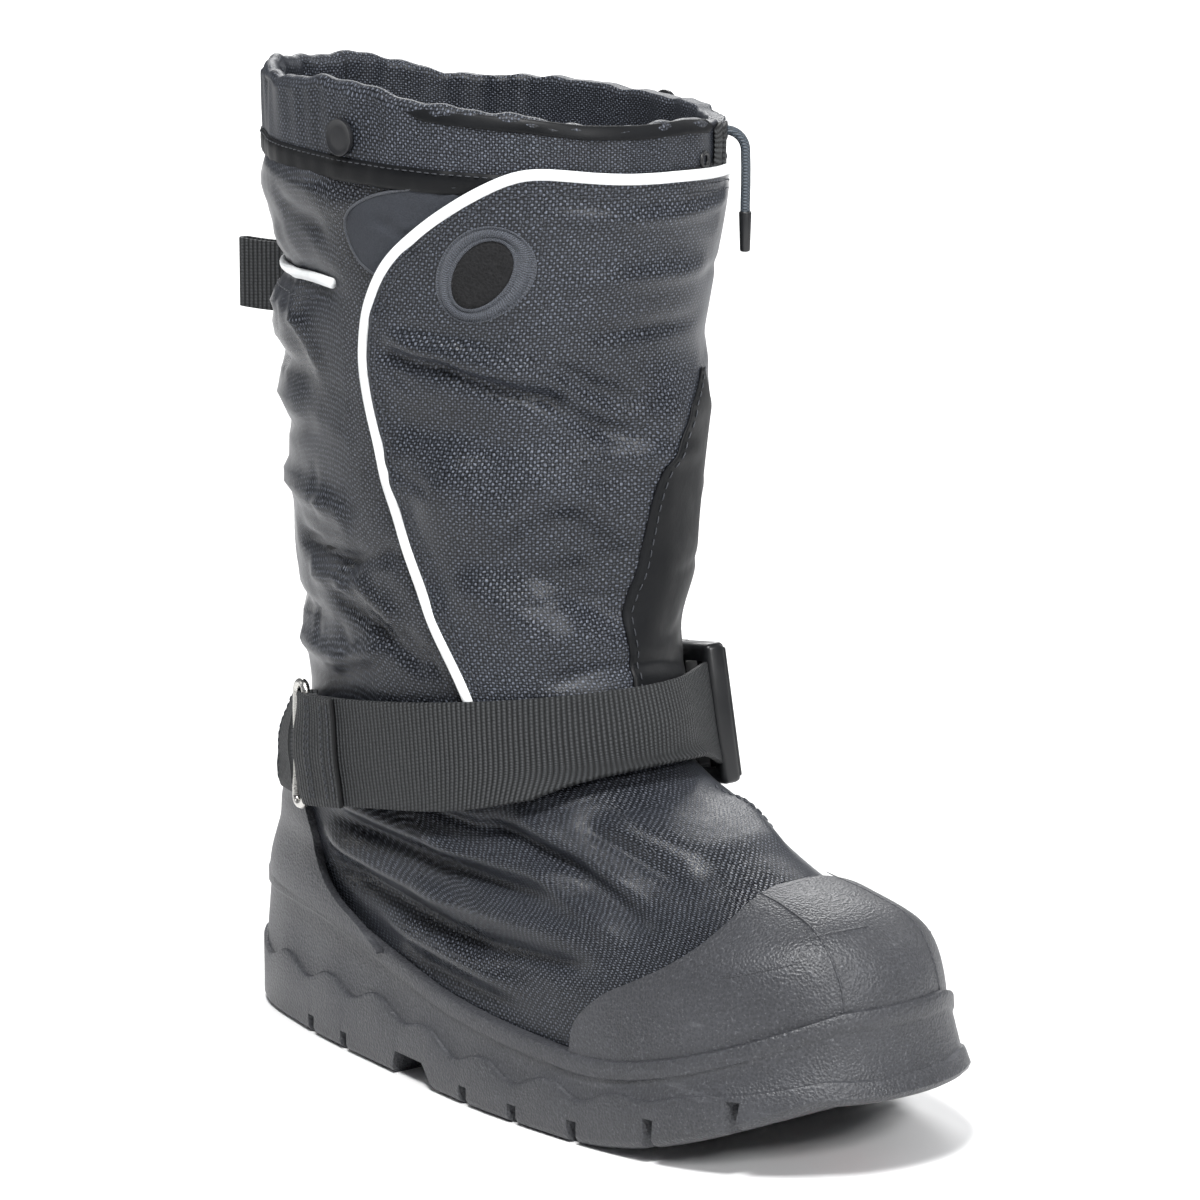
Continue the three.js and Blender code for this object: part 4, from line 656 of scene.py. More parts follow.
def woven(name, colour, cell, roughness, depth, tones=(0.03, 11.0)):
    """Ballistic weave: fat threads that cross over and under, with a painted highlight on every second float."""
    g = Graph(name, colour, roughness, specular=0.28)
    even = g.place("UV", (1 / cell,) * 3)
    drift = g.node("ShaderNodeTexNoise", {"Vector": even, "Scale": 0.45, "Detail": 2.0}, "Color")
    wander = {0: drift, 1: (1.3, 1.3, 0.0), 2: even}
    uv = g.node("ShaderNodeVectorMath", wander, operation="MULTIPLY_ADD")
    u, v, _ = g.axes(uv)
    over = g.node("ShaderNodeTexChecker", {"Vector": uv, "Scale": 1.0}, "Fac")
    # Thread crowns and the gaps between them: bump height, and in the colour painted highlight and painted shade.
    pillow = g.times(g.ripple(u), g.ripple(v))
    slub = g.span(g.noise(uv, 1.2, 2.0), 0.3, 0.7, 0.2, 1.6)
    floats = g.times(g.times(pillow, g.span(over, 0, 1, 0.3, 1.0)), slub)
    # The weave runs together where the cloth turns away.
    calm = g.span(g.node("ShaderNodeLayerWeight", {"Blend": 0.5}, "Facing"), 0.4, 0.85, 1.0, 0.2)
    floats = g.math("MULTIPLY_ADD", g.math("SUBTRACT", floats, 0.24), calm, 0.24)
    patch = g.noise(g.place("Object"), 24.0, 4.0)
    tone_mask = g.span(patch, 0.35, 0.7, 0.8, 1.15)
    # Painted highlight on the floats and painted shade between the threads, over random worn patches.
    g.shade(g.times(floats, tone_mask), *tones)
    g.rough(g.span(patch, 0.3, 0.7, roughness - 0.06, roughness + 0.10))
    soft = g.bump(g.noise(g.place("Object"), 70.0, 3.0), 0.9 * MM, 0.6)
    g.bump(floats, depth, 1.0, soft)
    return g.material


def smooth_tape(name, colour, roughness=0.5):
    """Coated tape: nearly smooth, with fine ribs along it and a faint pucker."""
    g = Graph(name, colour, roughness, specular=0.16)
    where = g.place("Object")
    fine = g.noise(where, 900.0, 2.0)
    broad = g.noise(where, 45.0, 3.0)
    g.shade(g.times(broad, 0.9), 0.6, 1.6)
    g.rough(g.span(broad, 0.3, 0.7, roughness - 0.1, roughness + 0.1))
    pucker = g.bump(broad, 0.7 * MM, 0.7)
    g.bump(fine, 0.08 * MM, 0.5, pucker)
    return g.material


def moulded_rubber(name, colour):
    """Rubber with a pebbled grain, a bloom of dust, scuffs and painted glints on the grit's raised points."""
    g = Graph(name, colour, 0.45, specular=0.45)
    where = g.place("Object")
    grain = g.node("ShaderNodeTexVoronoi", {"Vector": where, "Scale": 1000.0, "Randomness": 1.0}, "Distance")
    grit = g.noise(where, 1100.0, 2.0, 0.7)
    bloom = g.noise(where, 26.0, 3.0, 0.5)
    scratches = g.noise(g.place("Object", (28, 40, 330), 0.5), 1.0, 4.0, 0.7)
    scuffs = g.times(g.span(scratches, 0.60, 0.74), g.span(bloom, 0.42, 0.62))
    # Pale dots on the grit's raised points: painted glints that stand for a gloss on the high spots.
    grit_glints = g.span(grit, 0.58, 0.76)
    # The grain is lighter on its ridges than in its pits: partly grain tone, partly painted light and shade on the
    # pebbles.
    g.shade(g.plus(g.times(bloom, 0.8), g.times(grain, 0.7)), 0.4, 1.6)
    base = g.shader.inputs["Base Color"].links[0].from_socket
    near = g.node("ShaderNodeVectorMath", {0: where, 1: TOE_RUB}, operation="SUBTRACT")
    near = g.node("ShaderNodeVectorMath", {0: near, 1: (60, 70, 300)}, operation="MULTIPLY")
    near = g.node("ShaderNodeVectorMath", {0: near}, "Value", operation="LENGTH")
    rub = g.times(g.span(near, 0.3, 1.0, 1.0, 0.0), g.span(scratches, 0.40, 0.56))
    # The tone mask joins real scuffs and the toe rub with the painted glints on the grit; the pale colour goes in by
    # it.
    tone_mask = g.plus(g.times(scuffs, 0.5), g.times(grit_glints, 0.7))
    tone_mask = g.math("MAXIMUM", tone_mask, g.times(rub, 1.6))
    dust_and_glints = g.mix(tone_mask, base, (0.14, 0.145, 0.155, 1))
    g.put(g.shader.inputs["Base Color"], dust_and_glints)
    g.rough(g.plus(g.span(bloom, 0.3, 0.7, 0.38, 0.46), g.times(scuffs, 0.2)))
    wide = g.bump(bloom, 0.15 * MM, 0.4)
    pebbles = g.bump(grain, 0.30 * MM, 0.8, wide)
    g.bump(grit, 0.22 * MM, 0.7, pebbles)
    return g.material


def ribbed_webbing(name, colour, pitch=1.9 * MM):
    """Webbing with ribs across its length, each broken into short floats, with painted highlights and shade."""
    g = Graph(name, colour, 0.62, specular=0.22)
    uv = g.place("UV", (1 / pitch,) * 3)
    u, v, _ = g.axes(uv)
    ribs = g.math("POWER", g.ripple(v), 1.8)
    step = g.times(g.math("FLOOR", v), 0.5)
    floats = g.math("ABSOLUTE", g.math("SINE", g.times(g.plus(u, step), 1.6 * math.pi)))
    weave = g.times(ribs, g.plus(g.times(floats, 0.45), 0.55))
    fuzz = g.noise(uv, 2.2, 3.0)
    # Painted highlight on the ribs' crowns and painted shade in the gaps between them, with a random tone from the
    # fuzz.
    g.shade(g.plus(g.times(weave, 0.8), g.times(fuzz, 0.25)), 0.02, 7.0)
    g.rough(g.span(fuzz, 0.3, 0.7, 0.5, 0.72))
    fluff = g.bump(fuzz, 0.2 * MM, 0.5)
    g.bump(weave, 0.7 * MM, 1.0, fluff)
    return g.material


def grained_plastic(name, colour, roughness=0.42):
    g = Graph(name, colour, roughness, coat=0.12, specular=0.4)
    where = g.place("Object")
    grain = g.noise(where, 1500.0, 3.0)
    wear = g.noise(where, 60.0, 4.0)
    g.shade(wear, 0.75, 1.5)
    g.rough(g.span(wear, 0.3, 0.7, roughness - 0.08, roughness + 0.12))
    g.bump(grain, 0.06 * MM, 0.5)
    return g.material


def wire_steel(name):
    g = Graph(name, (0.62, 0.61, 0.58), 0.26, metallic=1.0)
    where = g.place("Object", (300, 300, 2600))
    brushed = g.noise(where, 1.0, 3.0)
    g.shade(brushed, 0.7, 1.15)
    g.rough(g.span(brushed, 0.3, 0.7, 0.18, 0.4))
    g.bump(brushed, 0.03 * MM, 0.4)
    return g.material


def bead_tape(name, colour):
    """Reflective piping: pale tape with tiny glass beads and a little grime."""
    g = Graph(name, colour, 0.38, sheen=0.1)
    where = g.place("Object")
    beads = g.node("ShaderNodeTexVoronoi", {"Vector": where, "Scale": 2600.0}, "Distance")
    grime = g.noise(where, 70.0, 4.0)
    g.shade(g.span(grime, 0.35, 0.6), 0.82, 1.04)
    g.rough(g.span(grime, 0.3, 0.7, 0.45, 0.3))
    g.bump(beads, 0.06 * MM, 0.4)
    return g.material


def piled(name, colour, scale, depth, tones):
    """Pile, hooks or embroidery: dense short fibres with a painted highlight at their tips."""
    g = Graph(name, colour, 0.85, sheen=0.08, specular=0.25)
    where = g.place("Object")
    fibres = g.node("ShaderNodeTexVoronoi", {"Vector": where, "Scale": scale}, "Distance")
    tufts = g.noise(where, scale * 0.35, 4.0, 0.7)
    # Painted highlight where the fibres stand highest, over a random tone from the tufts.
    g.shade(g.plus(g.times(fibres, 0.5), g.times(tufts, 0.6)), *tones)
    matted = g.bump(tufts, depth, 0.9)
    g.bump(fibres, 0.5 * depth, 0.9, matted)
    return g.material


def satin_thread(name, colour, pitch):
    """Satin stitch: threads laid side by side across the border, with fuzz between them; painted highlights and shade.
    """
    g = Graph(name, colour, 0.55, sheen=0.1)
    uv = g.place("UV", (1 / pitch,) * 3)
    u, v, _ = g.axes(uv)
    threads = g.ripple(g.plus(v, g.times(u, 0.35)))
    fuzz = g.noise(uv, 2.4, 4.0, 0.75)
    # Painted highlight on each thread's crown and painted shade between the threads, broken up by the fuzz.
    tone_mask = g.times(g.math("MULTIPLY_ADD", threads, 0.6, 0.4), g.span(fuzz, 0.38, 0.60, 0.0, 1.5))
    g.shade(tone_mask, 0.05, 3.2)
    fluff = g.bump(fuzz, 0.35 * MM, 0.8)
    g.bump(threads, 0.3 * MM, 0.9, fluff)
    return g.material


def braided(name, colour, pitch):
    """Braided cord: two families of slanted strands, with painted highlights on them and painted shade between."""
    g = Graph(name, colour, 0.55, sheen=0.05)
    where = g.place("Object", (1 / pitch,) * 3)
    x, y, z = g.axes(where)
    side = g.math("SUBTRACT", x, y)
    one = g.math("SINE", g.times(g.plus(z, side), math.pi))
    two = g.math("SINE", g.times(g.math("SUBTRACT", z, side), math.pi))
    strands = g.math("ABSOLUTE", g.times(one, two))
    # Painted highlight on the strands' crowns and painted shade between them.
    g.shade(strands, 0.5, 1.6)
    g.bump(strands, 0.25 * MM, 0.9)
    return g.material


def finish(name):
    """The named finish, made when it is first asked for."""
    c = bpy.context.scene.overshoe_colours
    makers = {
        "shell_cloth": lambda n: woven(n, c.shell, 1.1 * MM, 0.28, 0.14 * MM),
        "flap_cloth": lambda n: woven(n, c.flap, 1.1 * MM, 0.34, 0.16 * MM),
        "collar_cloth": lambda n: woven(n, c.flap, 1.0 * MM, 0.44, 0.16 * MM),
        "lining_cloth": lambda n: woven(n, c.lining, 1.1 * MM, 0.6, 0.2 * MM, (0.4, 4.0)),
        "binding_tape": lambda n: smooth_tape(n, c.tape, 0.5),
        "counter_binding": lambda n: smooth_tape(n, c.binding, 0.6),
        "moulded_rubber": lambda n: moulded_rubber(n, c.rubber),
        "grip_rubber": lambda n: moulded_rubber(n, c.grip),
        "reflective_piping": lambda n: bead_tape(n, c.piping),
        "hook_tape": lambda n: piled(n, c.hook, 1500.0, 0.25 * MM, (0.7, 1.4)),
        "window_pile": lambda n: piled(n, c.lining, 900.0, 0.9 * MM, (0.5, 2.6)),
        "badge_thread": lambda n: satin_thread(n, c.thread, 0.8 * MM),
        "sewing_thread": lambda n: satin_thread(n, c.thread, 0.5 * MM),
        "ribbed_webbing": lambda n: ribbed_webbing(n, c.webbing),
        "buckle_plastic": lambda n: grained_plastic(n, c.plastic, 0.36),
        "snap_enamel": lambda n: grained_plastic(n, (0.010, 0.0105, 0.012), 0.32),
        "wire_steel": wire_steel,
        "cord_braid": lambda n: braided(n, c.cord, 1.1 * MM),
    }
    label = f"dressed_{name}"
    return bpy.data.materials.get(label) or makers[name](label)


def only(*objects):
    bpy.ops.object.select_all(action="DESELECT")
    for o in objects:
        o.select_set(True)
    bpy.context.view_layer.objects.active = objects[0]


def modify(piece, kind, **settings):
    """Adds a modifier to a piece and applies it."""
    modifier = piece.modifiers.new(kind.title(), kind)
    for key, value in settings.items():
        setattr(modifier, key, value)
    only(piece)
    bpy.ops.object.modifier_apply(modifier=modifier.name)


def bevel(piece, width, segments, limit):
    """Rounds a piece's edges; width is in millimetres and limit is the least angle."""
    modify(piece, "BEVEL", width=width * MM, segments=segments, angle_limit=limit)


def settle(piece, slot, *nodes):
    """Seats a finished piece on the boot, in place of CAD nodes."""
    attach(piece, "root")
    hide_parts(*nodes)
    return piece


def mesh_piece(name, points, faces, material, uv=None):
    mesh = bpy.data.meshes.new(name)
    mesh.from_pydata(np.asarray(points).tolist(), [], faces)
    mesh.shade_smooth()
    if uv is not None:
        mesh.uv_layers.new(name="cloth").data.foreach_set("uv", np.asarray(uv, np.float32).ravel())
    mesh.materials.append(finish(material))
    piece = bpy.data.objects.new(name, mesh)
    bpy.context.scene.collection.objects.link(piece)
    return piece


def laid_uv(across, run):
    """Distances across and along a strip, for the weave to follow."""
    return np.stack(np.broadcast_arrays(across[None, :], run[:, None]), -1)


def surface(name, points, uv, outward, material, closed=False, capped=False):
    """A mesh over a grid of points, rows by columns, that faces outward. closed joins the last column to
    the first, and then uv has one column more. capped closes the first and last row."""
    rows, columns = points.shape[:2]
    if uv is None:
        uv = np.zeros((rows, columns + closed, 2))
    here = np.arange(rows * columns).reshape(rows, columns)
    if closed:
        here = np.concatenate([here, here[:, :1]], 1)
    corners = lambda a: np.stack([a[:-1, :-1], a[:-1, 1:], a[1:, 1:], a[1:, :-1]], 2)
    faces = corners(here).reshape(-1, 4)
    loops = corners(uv).reshape(-1, 4, 2)
    flat = points.reshape(-1, 3)
    sample = faces[len(faces) // 2]
    a, b, c = flat[sample[0]], flat[sample[1]], flat[sample[2]]
    away = np.broadcast_to(outward, points.shape).reshape(-1, 3)[sample[0]]
    turned = np.dot(np.cross(b - a, c - a), away) < 0
    if turned:
        faces, loops = faces[:, ::-1], loops[:, ::-1]
    faces, loops = faces.tolist(), loops.reshape(-1, 2)
    if capped:
        for row, flip in ((here[0], not turned), (here[-1], turned)):
            faces += [rung[::-1] if flip else rung for rung in ladder(row[:columns].tolist())]
        loops = np.concatenate([loops, np.zeros((sum(map(len, faces)) - len(loops), 2))])
    return mesh_piece(name, flat, faces, material, loops)


def ladder(loop):
    """Faces that close a loop with rungs from side to side, so that a curved end stays smooth."""
    count = len(loop)
    rungs = []
    for i in range(count // 2):
        corners = (i, i + 1, (count - i - 1) % count, (count - i) % count)
        rungs.append([loop[k] for k in dict.fromkeys(corners)])
    return rungs


def cloth(name, last, turn, place, lift, thickness, material, closed=False, soft=1.0, over=None):
    """A sheet that lies on the boot's surface at a grid of turns and row numbers."""
    turn, place = np.broadcast_arrays(turn, place)
    points = last.lifted(turn, place, lift, soft)
    if over is not None:
        points = points + over
    uv = last.cloth_uv(turn, place)
    if closed:
        seam = last.cloth_uv(turn[:, :1] + 2 * math.pi, place[:, :1])
        uv = np.concatenate([uv, seam], 1)
    piece = surface(name, points, uv, last.normal(turn, place), material, closed)
    if thickness:
        modify(piece, "SOLIDIFY", thickness=thickness, offset=-1.0, use_even_offset=False)
    return piece


def fan(start, end, steps):
    """A grid of turns and row numbers between two lines of them."""
    share = np.linspace(0, 1, steps)[:, None, None]
    return np.moveaxis(start[None] * (1 - share) + end[None] * share, -1, 0)


def swept(name, line, outward, section, material, scale=None):
    """A closed strip along a line. section holds offsets to the side and outward."""
    ahead = unit(np.gradient(line, axis=0))
    side = unit(np.cross(ahead, outward))
    up = np.cross(side, ahead)
    section = np.array(section)
    grow = np.ones(len(line)) if scale is None else scale
    points = (
        line[:, None]
        + side[:, None] * section[None, :, :1] * grow[:, None, None]
        + up[:, None] * section[None, :, 1:] * grow[:, None, None]
    )
    rim = along(np.concatenate([section, section[:1]]))
    return surface(name, points, laid_uv(rim, along(line)), points - line[:, None], material, True, True)


def oval(half_width, half_height, count=12):
    """A section for swept, with its half sizes in millimetres."""
    return [(half_width * MM * math.cos(a), half_height * MM * math.sin(a)) for a in all_round(count)]


def stitches(name, lines, *sizes):
    """Short threads along lines of (points, outward) pairs, as one piece. sizes are the threads' pitch,
    length and radius in millimetres."""
    pitch, length, radius = (size * MM for size in sizes)
    ring = [(math.cos(a), math.sin(a)) for a in all_round(5)]
    points, faces = [], []
    for line, outward in lines:
        run = along(line)
        for centre in np.arange(pitch, run[-1], pitch):
            at = [np.array([np.interp(centre + d, run, line[:, k]) for k in range(3)]) for d in (-1e-4, 0, 1e-4)]
            up = unit(np.array([np.interp(centre, run, outward[:, k]) for k in range(3)]))
            ahead = unit(at[2] - at[0])
            side = np.cross(ahead, up)
            first = len(points)
            for share, size in ((-0.5, 0.45), (-0.3, 1.0), (0.3, 1.0), (0.5, 0.45)):
                sink = 0.6 if abs(share) == 0.5 else 0.0
                middle = at[1] + ahead * share * length - up * sink * radius
                points += [middle + (side * c + up * s) * radius * size for c, s in ring]
            for j in range(3):
                for k in range(5):
                    a, b = first + 5 * j + k, first + 5 * j + (k + 1) % 5
                    faces.append((a, b, b + 5, a + 5))
            faces += [tuple(range(first, first + 5))[::-1], tuple(range(first + 15, first + 20))]
    uv = np.zeros((sum(len(f) for f in faces), 2))
    piece = mesh_piece(name, points, faces, "sewing_thread", uv)
    recalculate(piece)
    return piece


def recalculate(piece):
    only(piece)
    bpy.ops.object.mode_set(mode="EDIT")
    bpy.ops.mesh.select_all(action="SELECT")
    bpy.ops.mesh.normals_make_consistent(inside=False)
    bpy.ops.object.mode_set(mode="OBJECT")


def primitive(kind, name, material, **settings):
    """A primitive of Blender's, with its place in its mesh."""
    bpy.ops.object.select_all(action="DESELECT")
    getattr(bpy.ops.mesh, f"primitive_{kind}_add")(**settings)
    piece = bpy.context.object
    piece.name = piece.data.name = name
    bpy.ops.object.transform_apply(location=True, rotation=True, scale=True)
    piece.data.materials.append(finish(material))
    return piece


def block(name, material, size, centre, edge=0.0, segments=3):
    """A box with rounded edges."""
    piece = primitive("cube", name, material, size=1, location=centre, scale=size)
    if edge:
        modify(piece, "BEVEL", width=edge, segments=segments)
    return piece


def cut(piece, *tools):
    """Cuts tools out of a piece and removes them."""
    for tool in tools:
        modify(piece, "BOOLEAN", object=tool, operation="DIFFERENCE", solver="EXACT")
        bpy.data.objects.remove(tool)


def seat(piece, matrix=Matrix.Identity(4)):
    """Moves a piece's mesh to its seat on the boot."""
    piece.data.transform(matrix)
    only(piece)
    bpy.ops.object.shade_smooth_by_angle(angle=math.radians(35))
    return piece


def joined(name, *pieces):
    only(*pieces)
    bpy.ops.object.join()
    pieces[0].name = pieces[0].data.name = name
    return pieces[0]


def frame_at(middle, ahead, outward):
    """The matrix whose x runs ahead and whose z leans outward."""
    x = Vector(ahead).normalized()
    y = Vector(outward).cross(x).normalized()
    z = x.cross(y)
    return Matrix.Translation(Vector(middle)) @ Matrix((x, y, z)).transposed().to_4x4()


class OvershoePiece:
    """What every operator of this file shares."""

    bl_options = {"REGISTER", "UNDO"}

    def execute(self, context):
        self.build(context, Last(context.scene.overshoe_sizes))
        return {"FINISHED"}


class OVERSHOE_OT_stage(OvershoePiece, bpy.types.Operator):
    """Sets the floor, the soft lights and the camera"""

    bl_idname = "overshoe.stage"
    bl_label = "Stage"

    def build(self, context, last):
        floor = primitive("plane", "floor", "lining_cloth", size=14)
        floor.data.materials.clear()
        pale = Graph("pale_floor", (0.92, 0.92, 0.92), 0.6)
        pale.shade(pale.noise(pale.place("Object"), 3.0), 0.99, 1.01)
        floor.data.materials.append(pale.material)
        for name, place, aim, size, power in (
            ("key", (1.0, -1.1, 2.6), (0.1, 0, 0.15), 0.6, 98),
            ("side", (-1.9, -1.2, 1.1), (0.1, 0, 0.15), 0.6, 5),
            ("front", (2.5, -0.3, 1.5), (0.1, 0, 0.15), 0.5, 42),
            ("back", (0.6, 2.2, 1.6), (0.1, 0, 0.15), 1.4, 16),
            ("backdrop", (-3.4, 3.0, 2.6), (-3.4, 3.1, 0.0), 3.0, 260),
        ):
            lamp = bpy.data.objects.new(name, bpy.data.lights.new(name, "AREA"))
            lamp.data.energy, lamp.data.size = power, size
            lamp.location = place
            lamp.rotation_euler = (Vector(aim) - lamp.location).to_track_quat("-Z", "Y").to_euler()
            context.scene.collection.objects.link(lamp)
        context.scene.view_settings.view_transform = "Standard"
        world = context.scene.world or bpy.data.worlds.new("studio")
        context.scene.world = world
        world.use_nodes = True
        world.node_tree.nodes["Background"].inputs[0].default_value = (0.93, 0.95, 1.0, 1)
        world.node_tree.nodes["Background"].inputs[1].default_value = 0.18
        camera = bpy.data.objects.new("camera", bpy.data.cameras.new("camera"))
        camera.data.lens = 160
        camera.data.sensor_width = 36
        camera.location = (1.499, -1.157, 0.536)
        towards = Vector((0.1222, 0.0085, 0.1676)) - camera.location
        camera.rotation_euler = towards.to_track_quat("-Z", "Y").to_euler()
        context.scene.collection.objects.link(camera)
        context.scene.camera = camera


class OVERSHOE_OT_drawcord(OvershoePiece, bpy.types.Operator):
    """Hangs the drawcord and its tip from the collar"""

    bl_idname = "overshoe.drawcord"
    bl_label = "Drawcord"

    def build(self, context, last):
        s = context.scene.overshoe_sizes
        route = np.array(CORD_ROUTE) * MM
        fine = curve(route, 61)
        line = bpy.data.curves.new("hanging_cord", "CURVE")
        line.dimensions = "3D"
        spline = line.splines.new("POLY")
        spline.points.add(len(fine) - 1)
        spline.points.foreach_set("co", np.concatenate([fine, np.ones((len(fine), 1))], 1).ravel())
        line.bevel_depth = s.cord_diameter / 2
        line.bevel_resolution = 5
        line.use_fill_caps = True
        line.materials.append(finish("cord_braid"))
        cord = bpy.data.objects.new("hanging_cord", line)
        context.scene.collection.objects.link(cord)
        settle(cord, "cord", "drawcord")
        radius, length = 2.2 * MM, 14 * MM
        end = fine[-1]
        tip = primitive(
            "cone", "cord_end", "buckle_plastic", vertices=32, radius1=0.8 * radius, radius2=radius,
            depth=length, location=(*end[:2], end[2] - length / 2),
        )
        bevel(tip, 0.7, 3, 0.8)
        seat(tip)
        settle(tip, "buckle_plastic", "cord_tip")


class OVERSHOE_OT_sole(OvershoePiece, bpy.types.Operator):
    """Builds the rubber bottom with its side wall, lugs and plugs"""

    bl_idname = "overshoe.sole"
    bl_label = "Rubber Bottom"

    def blank(self, last):
        s = last.s
        even = all_round(288, -math.pi)
        turn = even + 0.22 * np.sin(2 * even)
        step = 1.5 * MM
        chamfer, bead, edge = 3 * MM, 6 * MM, s.sole_edge
        lip = edge - 1.4 * step
        rings = [
            (edge - chamfer, last.tread_height, 1.0),
            (edge - 0.3 * chamfer, lambda x: last.tread_height(x) + 0.4 * chamfer, 1.0),
            (edge, lambda x: last.tread_height(x) + chamfer, 1.0),
            (edge, last.wave_height, 0.65),
            (edge - 0.3 * step, lambda x: last.wave_height(x) + 0.8 * step, 0.62),
            (edge - step, lambda x: last.wave_height(x) + step, 0.6),
            (edge - 2 * step, lambda x: last.rim_height(x) - bead - step, 0.3),
            (edge - 1.9 * step, lambda x: last.rim_height(x) - bead - 0.5 * step, 0.28),
            (lip, lambda x: last.rim_height(x) - bead, 0.22),
            (lip, lambda x: last.rim_height(x) - step, 0.16),
            (lip - 0.3 * step, lambda x: last.rim_height(x) - 0.3 * step, 0.14),
            (lip - step, last.rim_height, 0.1),
        ]
        loops = [last.sole_loop(turn, *ring) for ring in rings]
        top = last.place_at(turn, last.rim_height)
        for share in (1.0, 0.66, 0.33, 0.0):
            loops.append(last.lifted(turn, share * top, s.gap))
        loops[-4][:, 2] = last.rim_height(loops[-4][:, 0])
        points = np.array(loops)
        away = points - np.array([0.12, 0, 0.02])
        return surface("rubber_bottom", points, None, away, "moulded_rubber", closed=True, capped=True)

    def cutters(self, last):
        s = last.s
        half = s.ball_half_width

        def deep(x):
            return float(last.tread_height(x)) + s.lug_depth

        tools = []
        for share in GROOVES:
            x = last.sole_back + share * last.sole_length + CHEVRON * half
            for side in (-1, 1):
                tool = block("tool", "lining_cloth", (s.groove_width, 2.6 * half, 2 * deep(x)), (0, 0, 0))
                tool.data.transform(
                    Matrix.Translation((x, 0, 0))
                    @ Matrix.Rotation(side * CHEVRON, 4, "Z")
                    @ Matrix.Translation((0, side * 1.28 * half, 0))
                )
                tools.append(tool)
        for side in (-1, 1):
            for first, final in ((0, 1), (2, 3), (3, 4), (4, 5), (5, 6)):
                a, b = (last.sole_back + GROOVES[k] * last.sole_length + 0.12 * half for k in (first, final))
                height = 2 * min(deep(a), deep(b))
                centre = ((a + b) / 2, side * 0.36 * half, 0)
                tools.append(block("tool", "lining_cloth", (b - a, s.groove_width, height), centre))
        for share in PLUGS:
            x = last.sole_back + share * last.sole_length + CHEVRON * half
            tools.append(primitive(
                "cylinder", "tool", "lining_cloth", vertices=32, radius=6 * MM + s.gap,
                depth=2 * (deep(x) + 2 * s.gap), location=(x, 0, 0),
            ))
        arch = block("tool", "lining_cloth", (0.05, 0.3, 2 * ARCH_HEIGHT), (0, 0, 0))
        x = last.sole_back + ARCH_SHARE * last.sole_length
        half_arch = 0.045 * last.sole_length
        for corner in arch.data.vertices:
            high, back = corner.co.z > 0, corner.co.x < 0
            corner.co.x = x + half_arch * ((-0.8 if back else 0.4) if high else (-1.0 if back else 1.0))
            corner.co.z = ARCH_HEIGHT if high else -1 * MM
        tools.append(arch)
        return tools

    def build(self, context, last):
        s = last.s
        sole = self.blank(last)
        cut(sole, *self.cutters(last))
        bevel(sole, 0.5, 2, math.radians(38))
        seat(sole)
        settle(sole, "sole_rubber", "outsole")
        for number, share in enumerate(PLUGS, 1):
            x = last.sole_back + share * last.sole_length + CHEVRON * s.ball_half_width
            low = float(last.tread_height(x)) + 1 * MM
            depth = s.lug_depth - 1 * MM
            plug = primitive(
                "cylinder", f"red_plug_{number}", "grip_rubber", vertices=40, radius=6 * MM, depth=depth,
                location=(x, 0, low + depth / 2),
            )
            bevel(plug, 0.8, 3, 0.8)
            dimple = primitive(
                "cylinder", "tool", "grip_rubber", vertices=32, radius=2.6 * MM, depth=2 * MM, location=(x, 0, low)
            )
            cut(plug, dimple)
            seat(plug)
            settle(plug, "grip_rubber", f"grip_plug_{number}")
        self.footbed(last)

    def footbed(self, last):
        """The felt insole, slightly dished."""
        s = last.s
        turn = all_round(128, -math.pi)
        inset = s.upper_wall + 2 * MM
        edge = last.lifted(turn, np.full(turn.shape, 0.3), -inset)
        base = last.skin(turn, 0)[:, 2]
        rings = []
        for shrink, rise in ((0, 0.3), (0, 2.6), (1.2, 4.2), (7, 4.0), (18, 3.4), (30, 3.2)):
            ring = edge - unit(edge * [1, 1, 0] - [0.12, 0.004, 0]) * shrink * MM
            ring[:, 2] = base + rise * MM
            rings.append(ring)
        points = np.array(rings)
        uv = np.concatenate([points, points[:, :1]], 1)[..., :2]
        away = points - points.mean((0, 1)) + [0, 0, 0.01]
        piece = surface("felt_insole", points, uv, away, "lining_cloth", closed=True, capped=True)
        recalculate(piece)
        settle(piece, "lining", "insole")


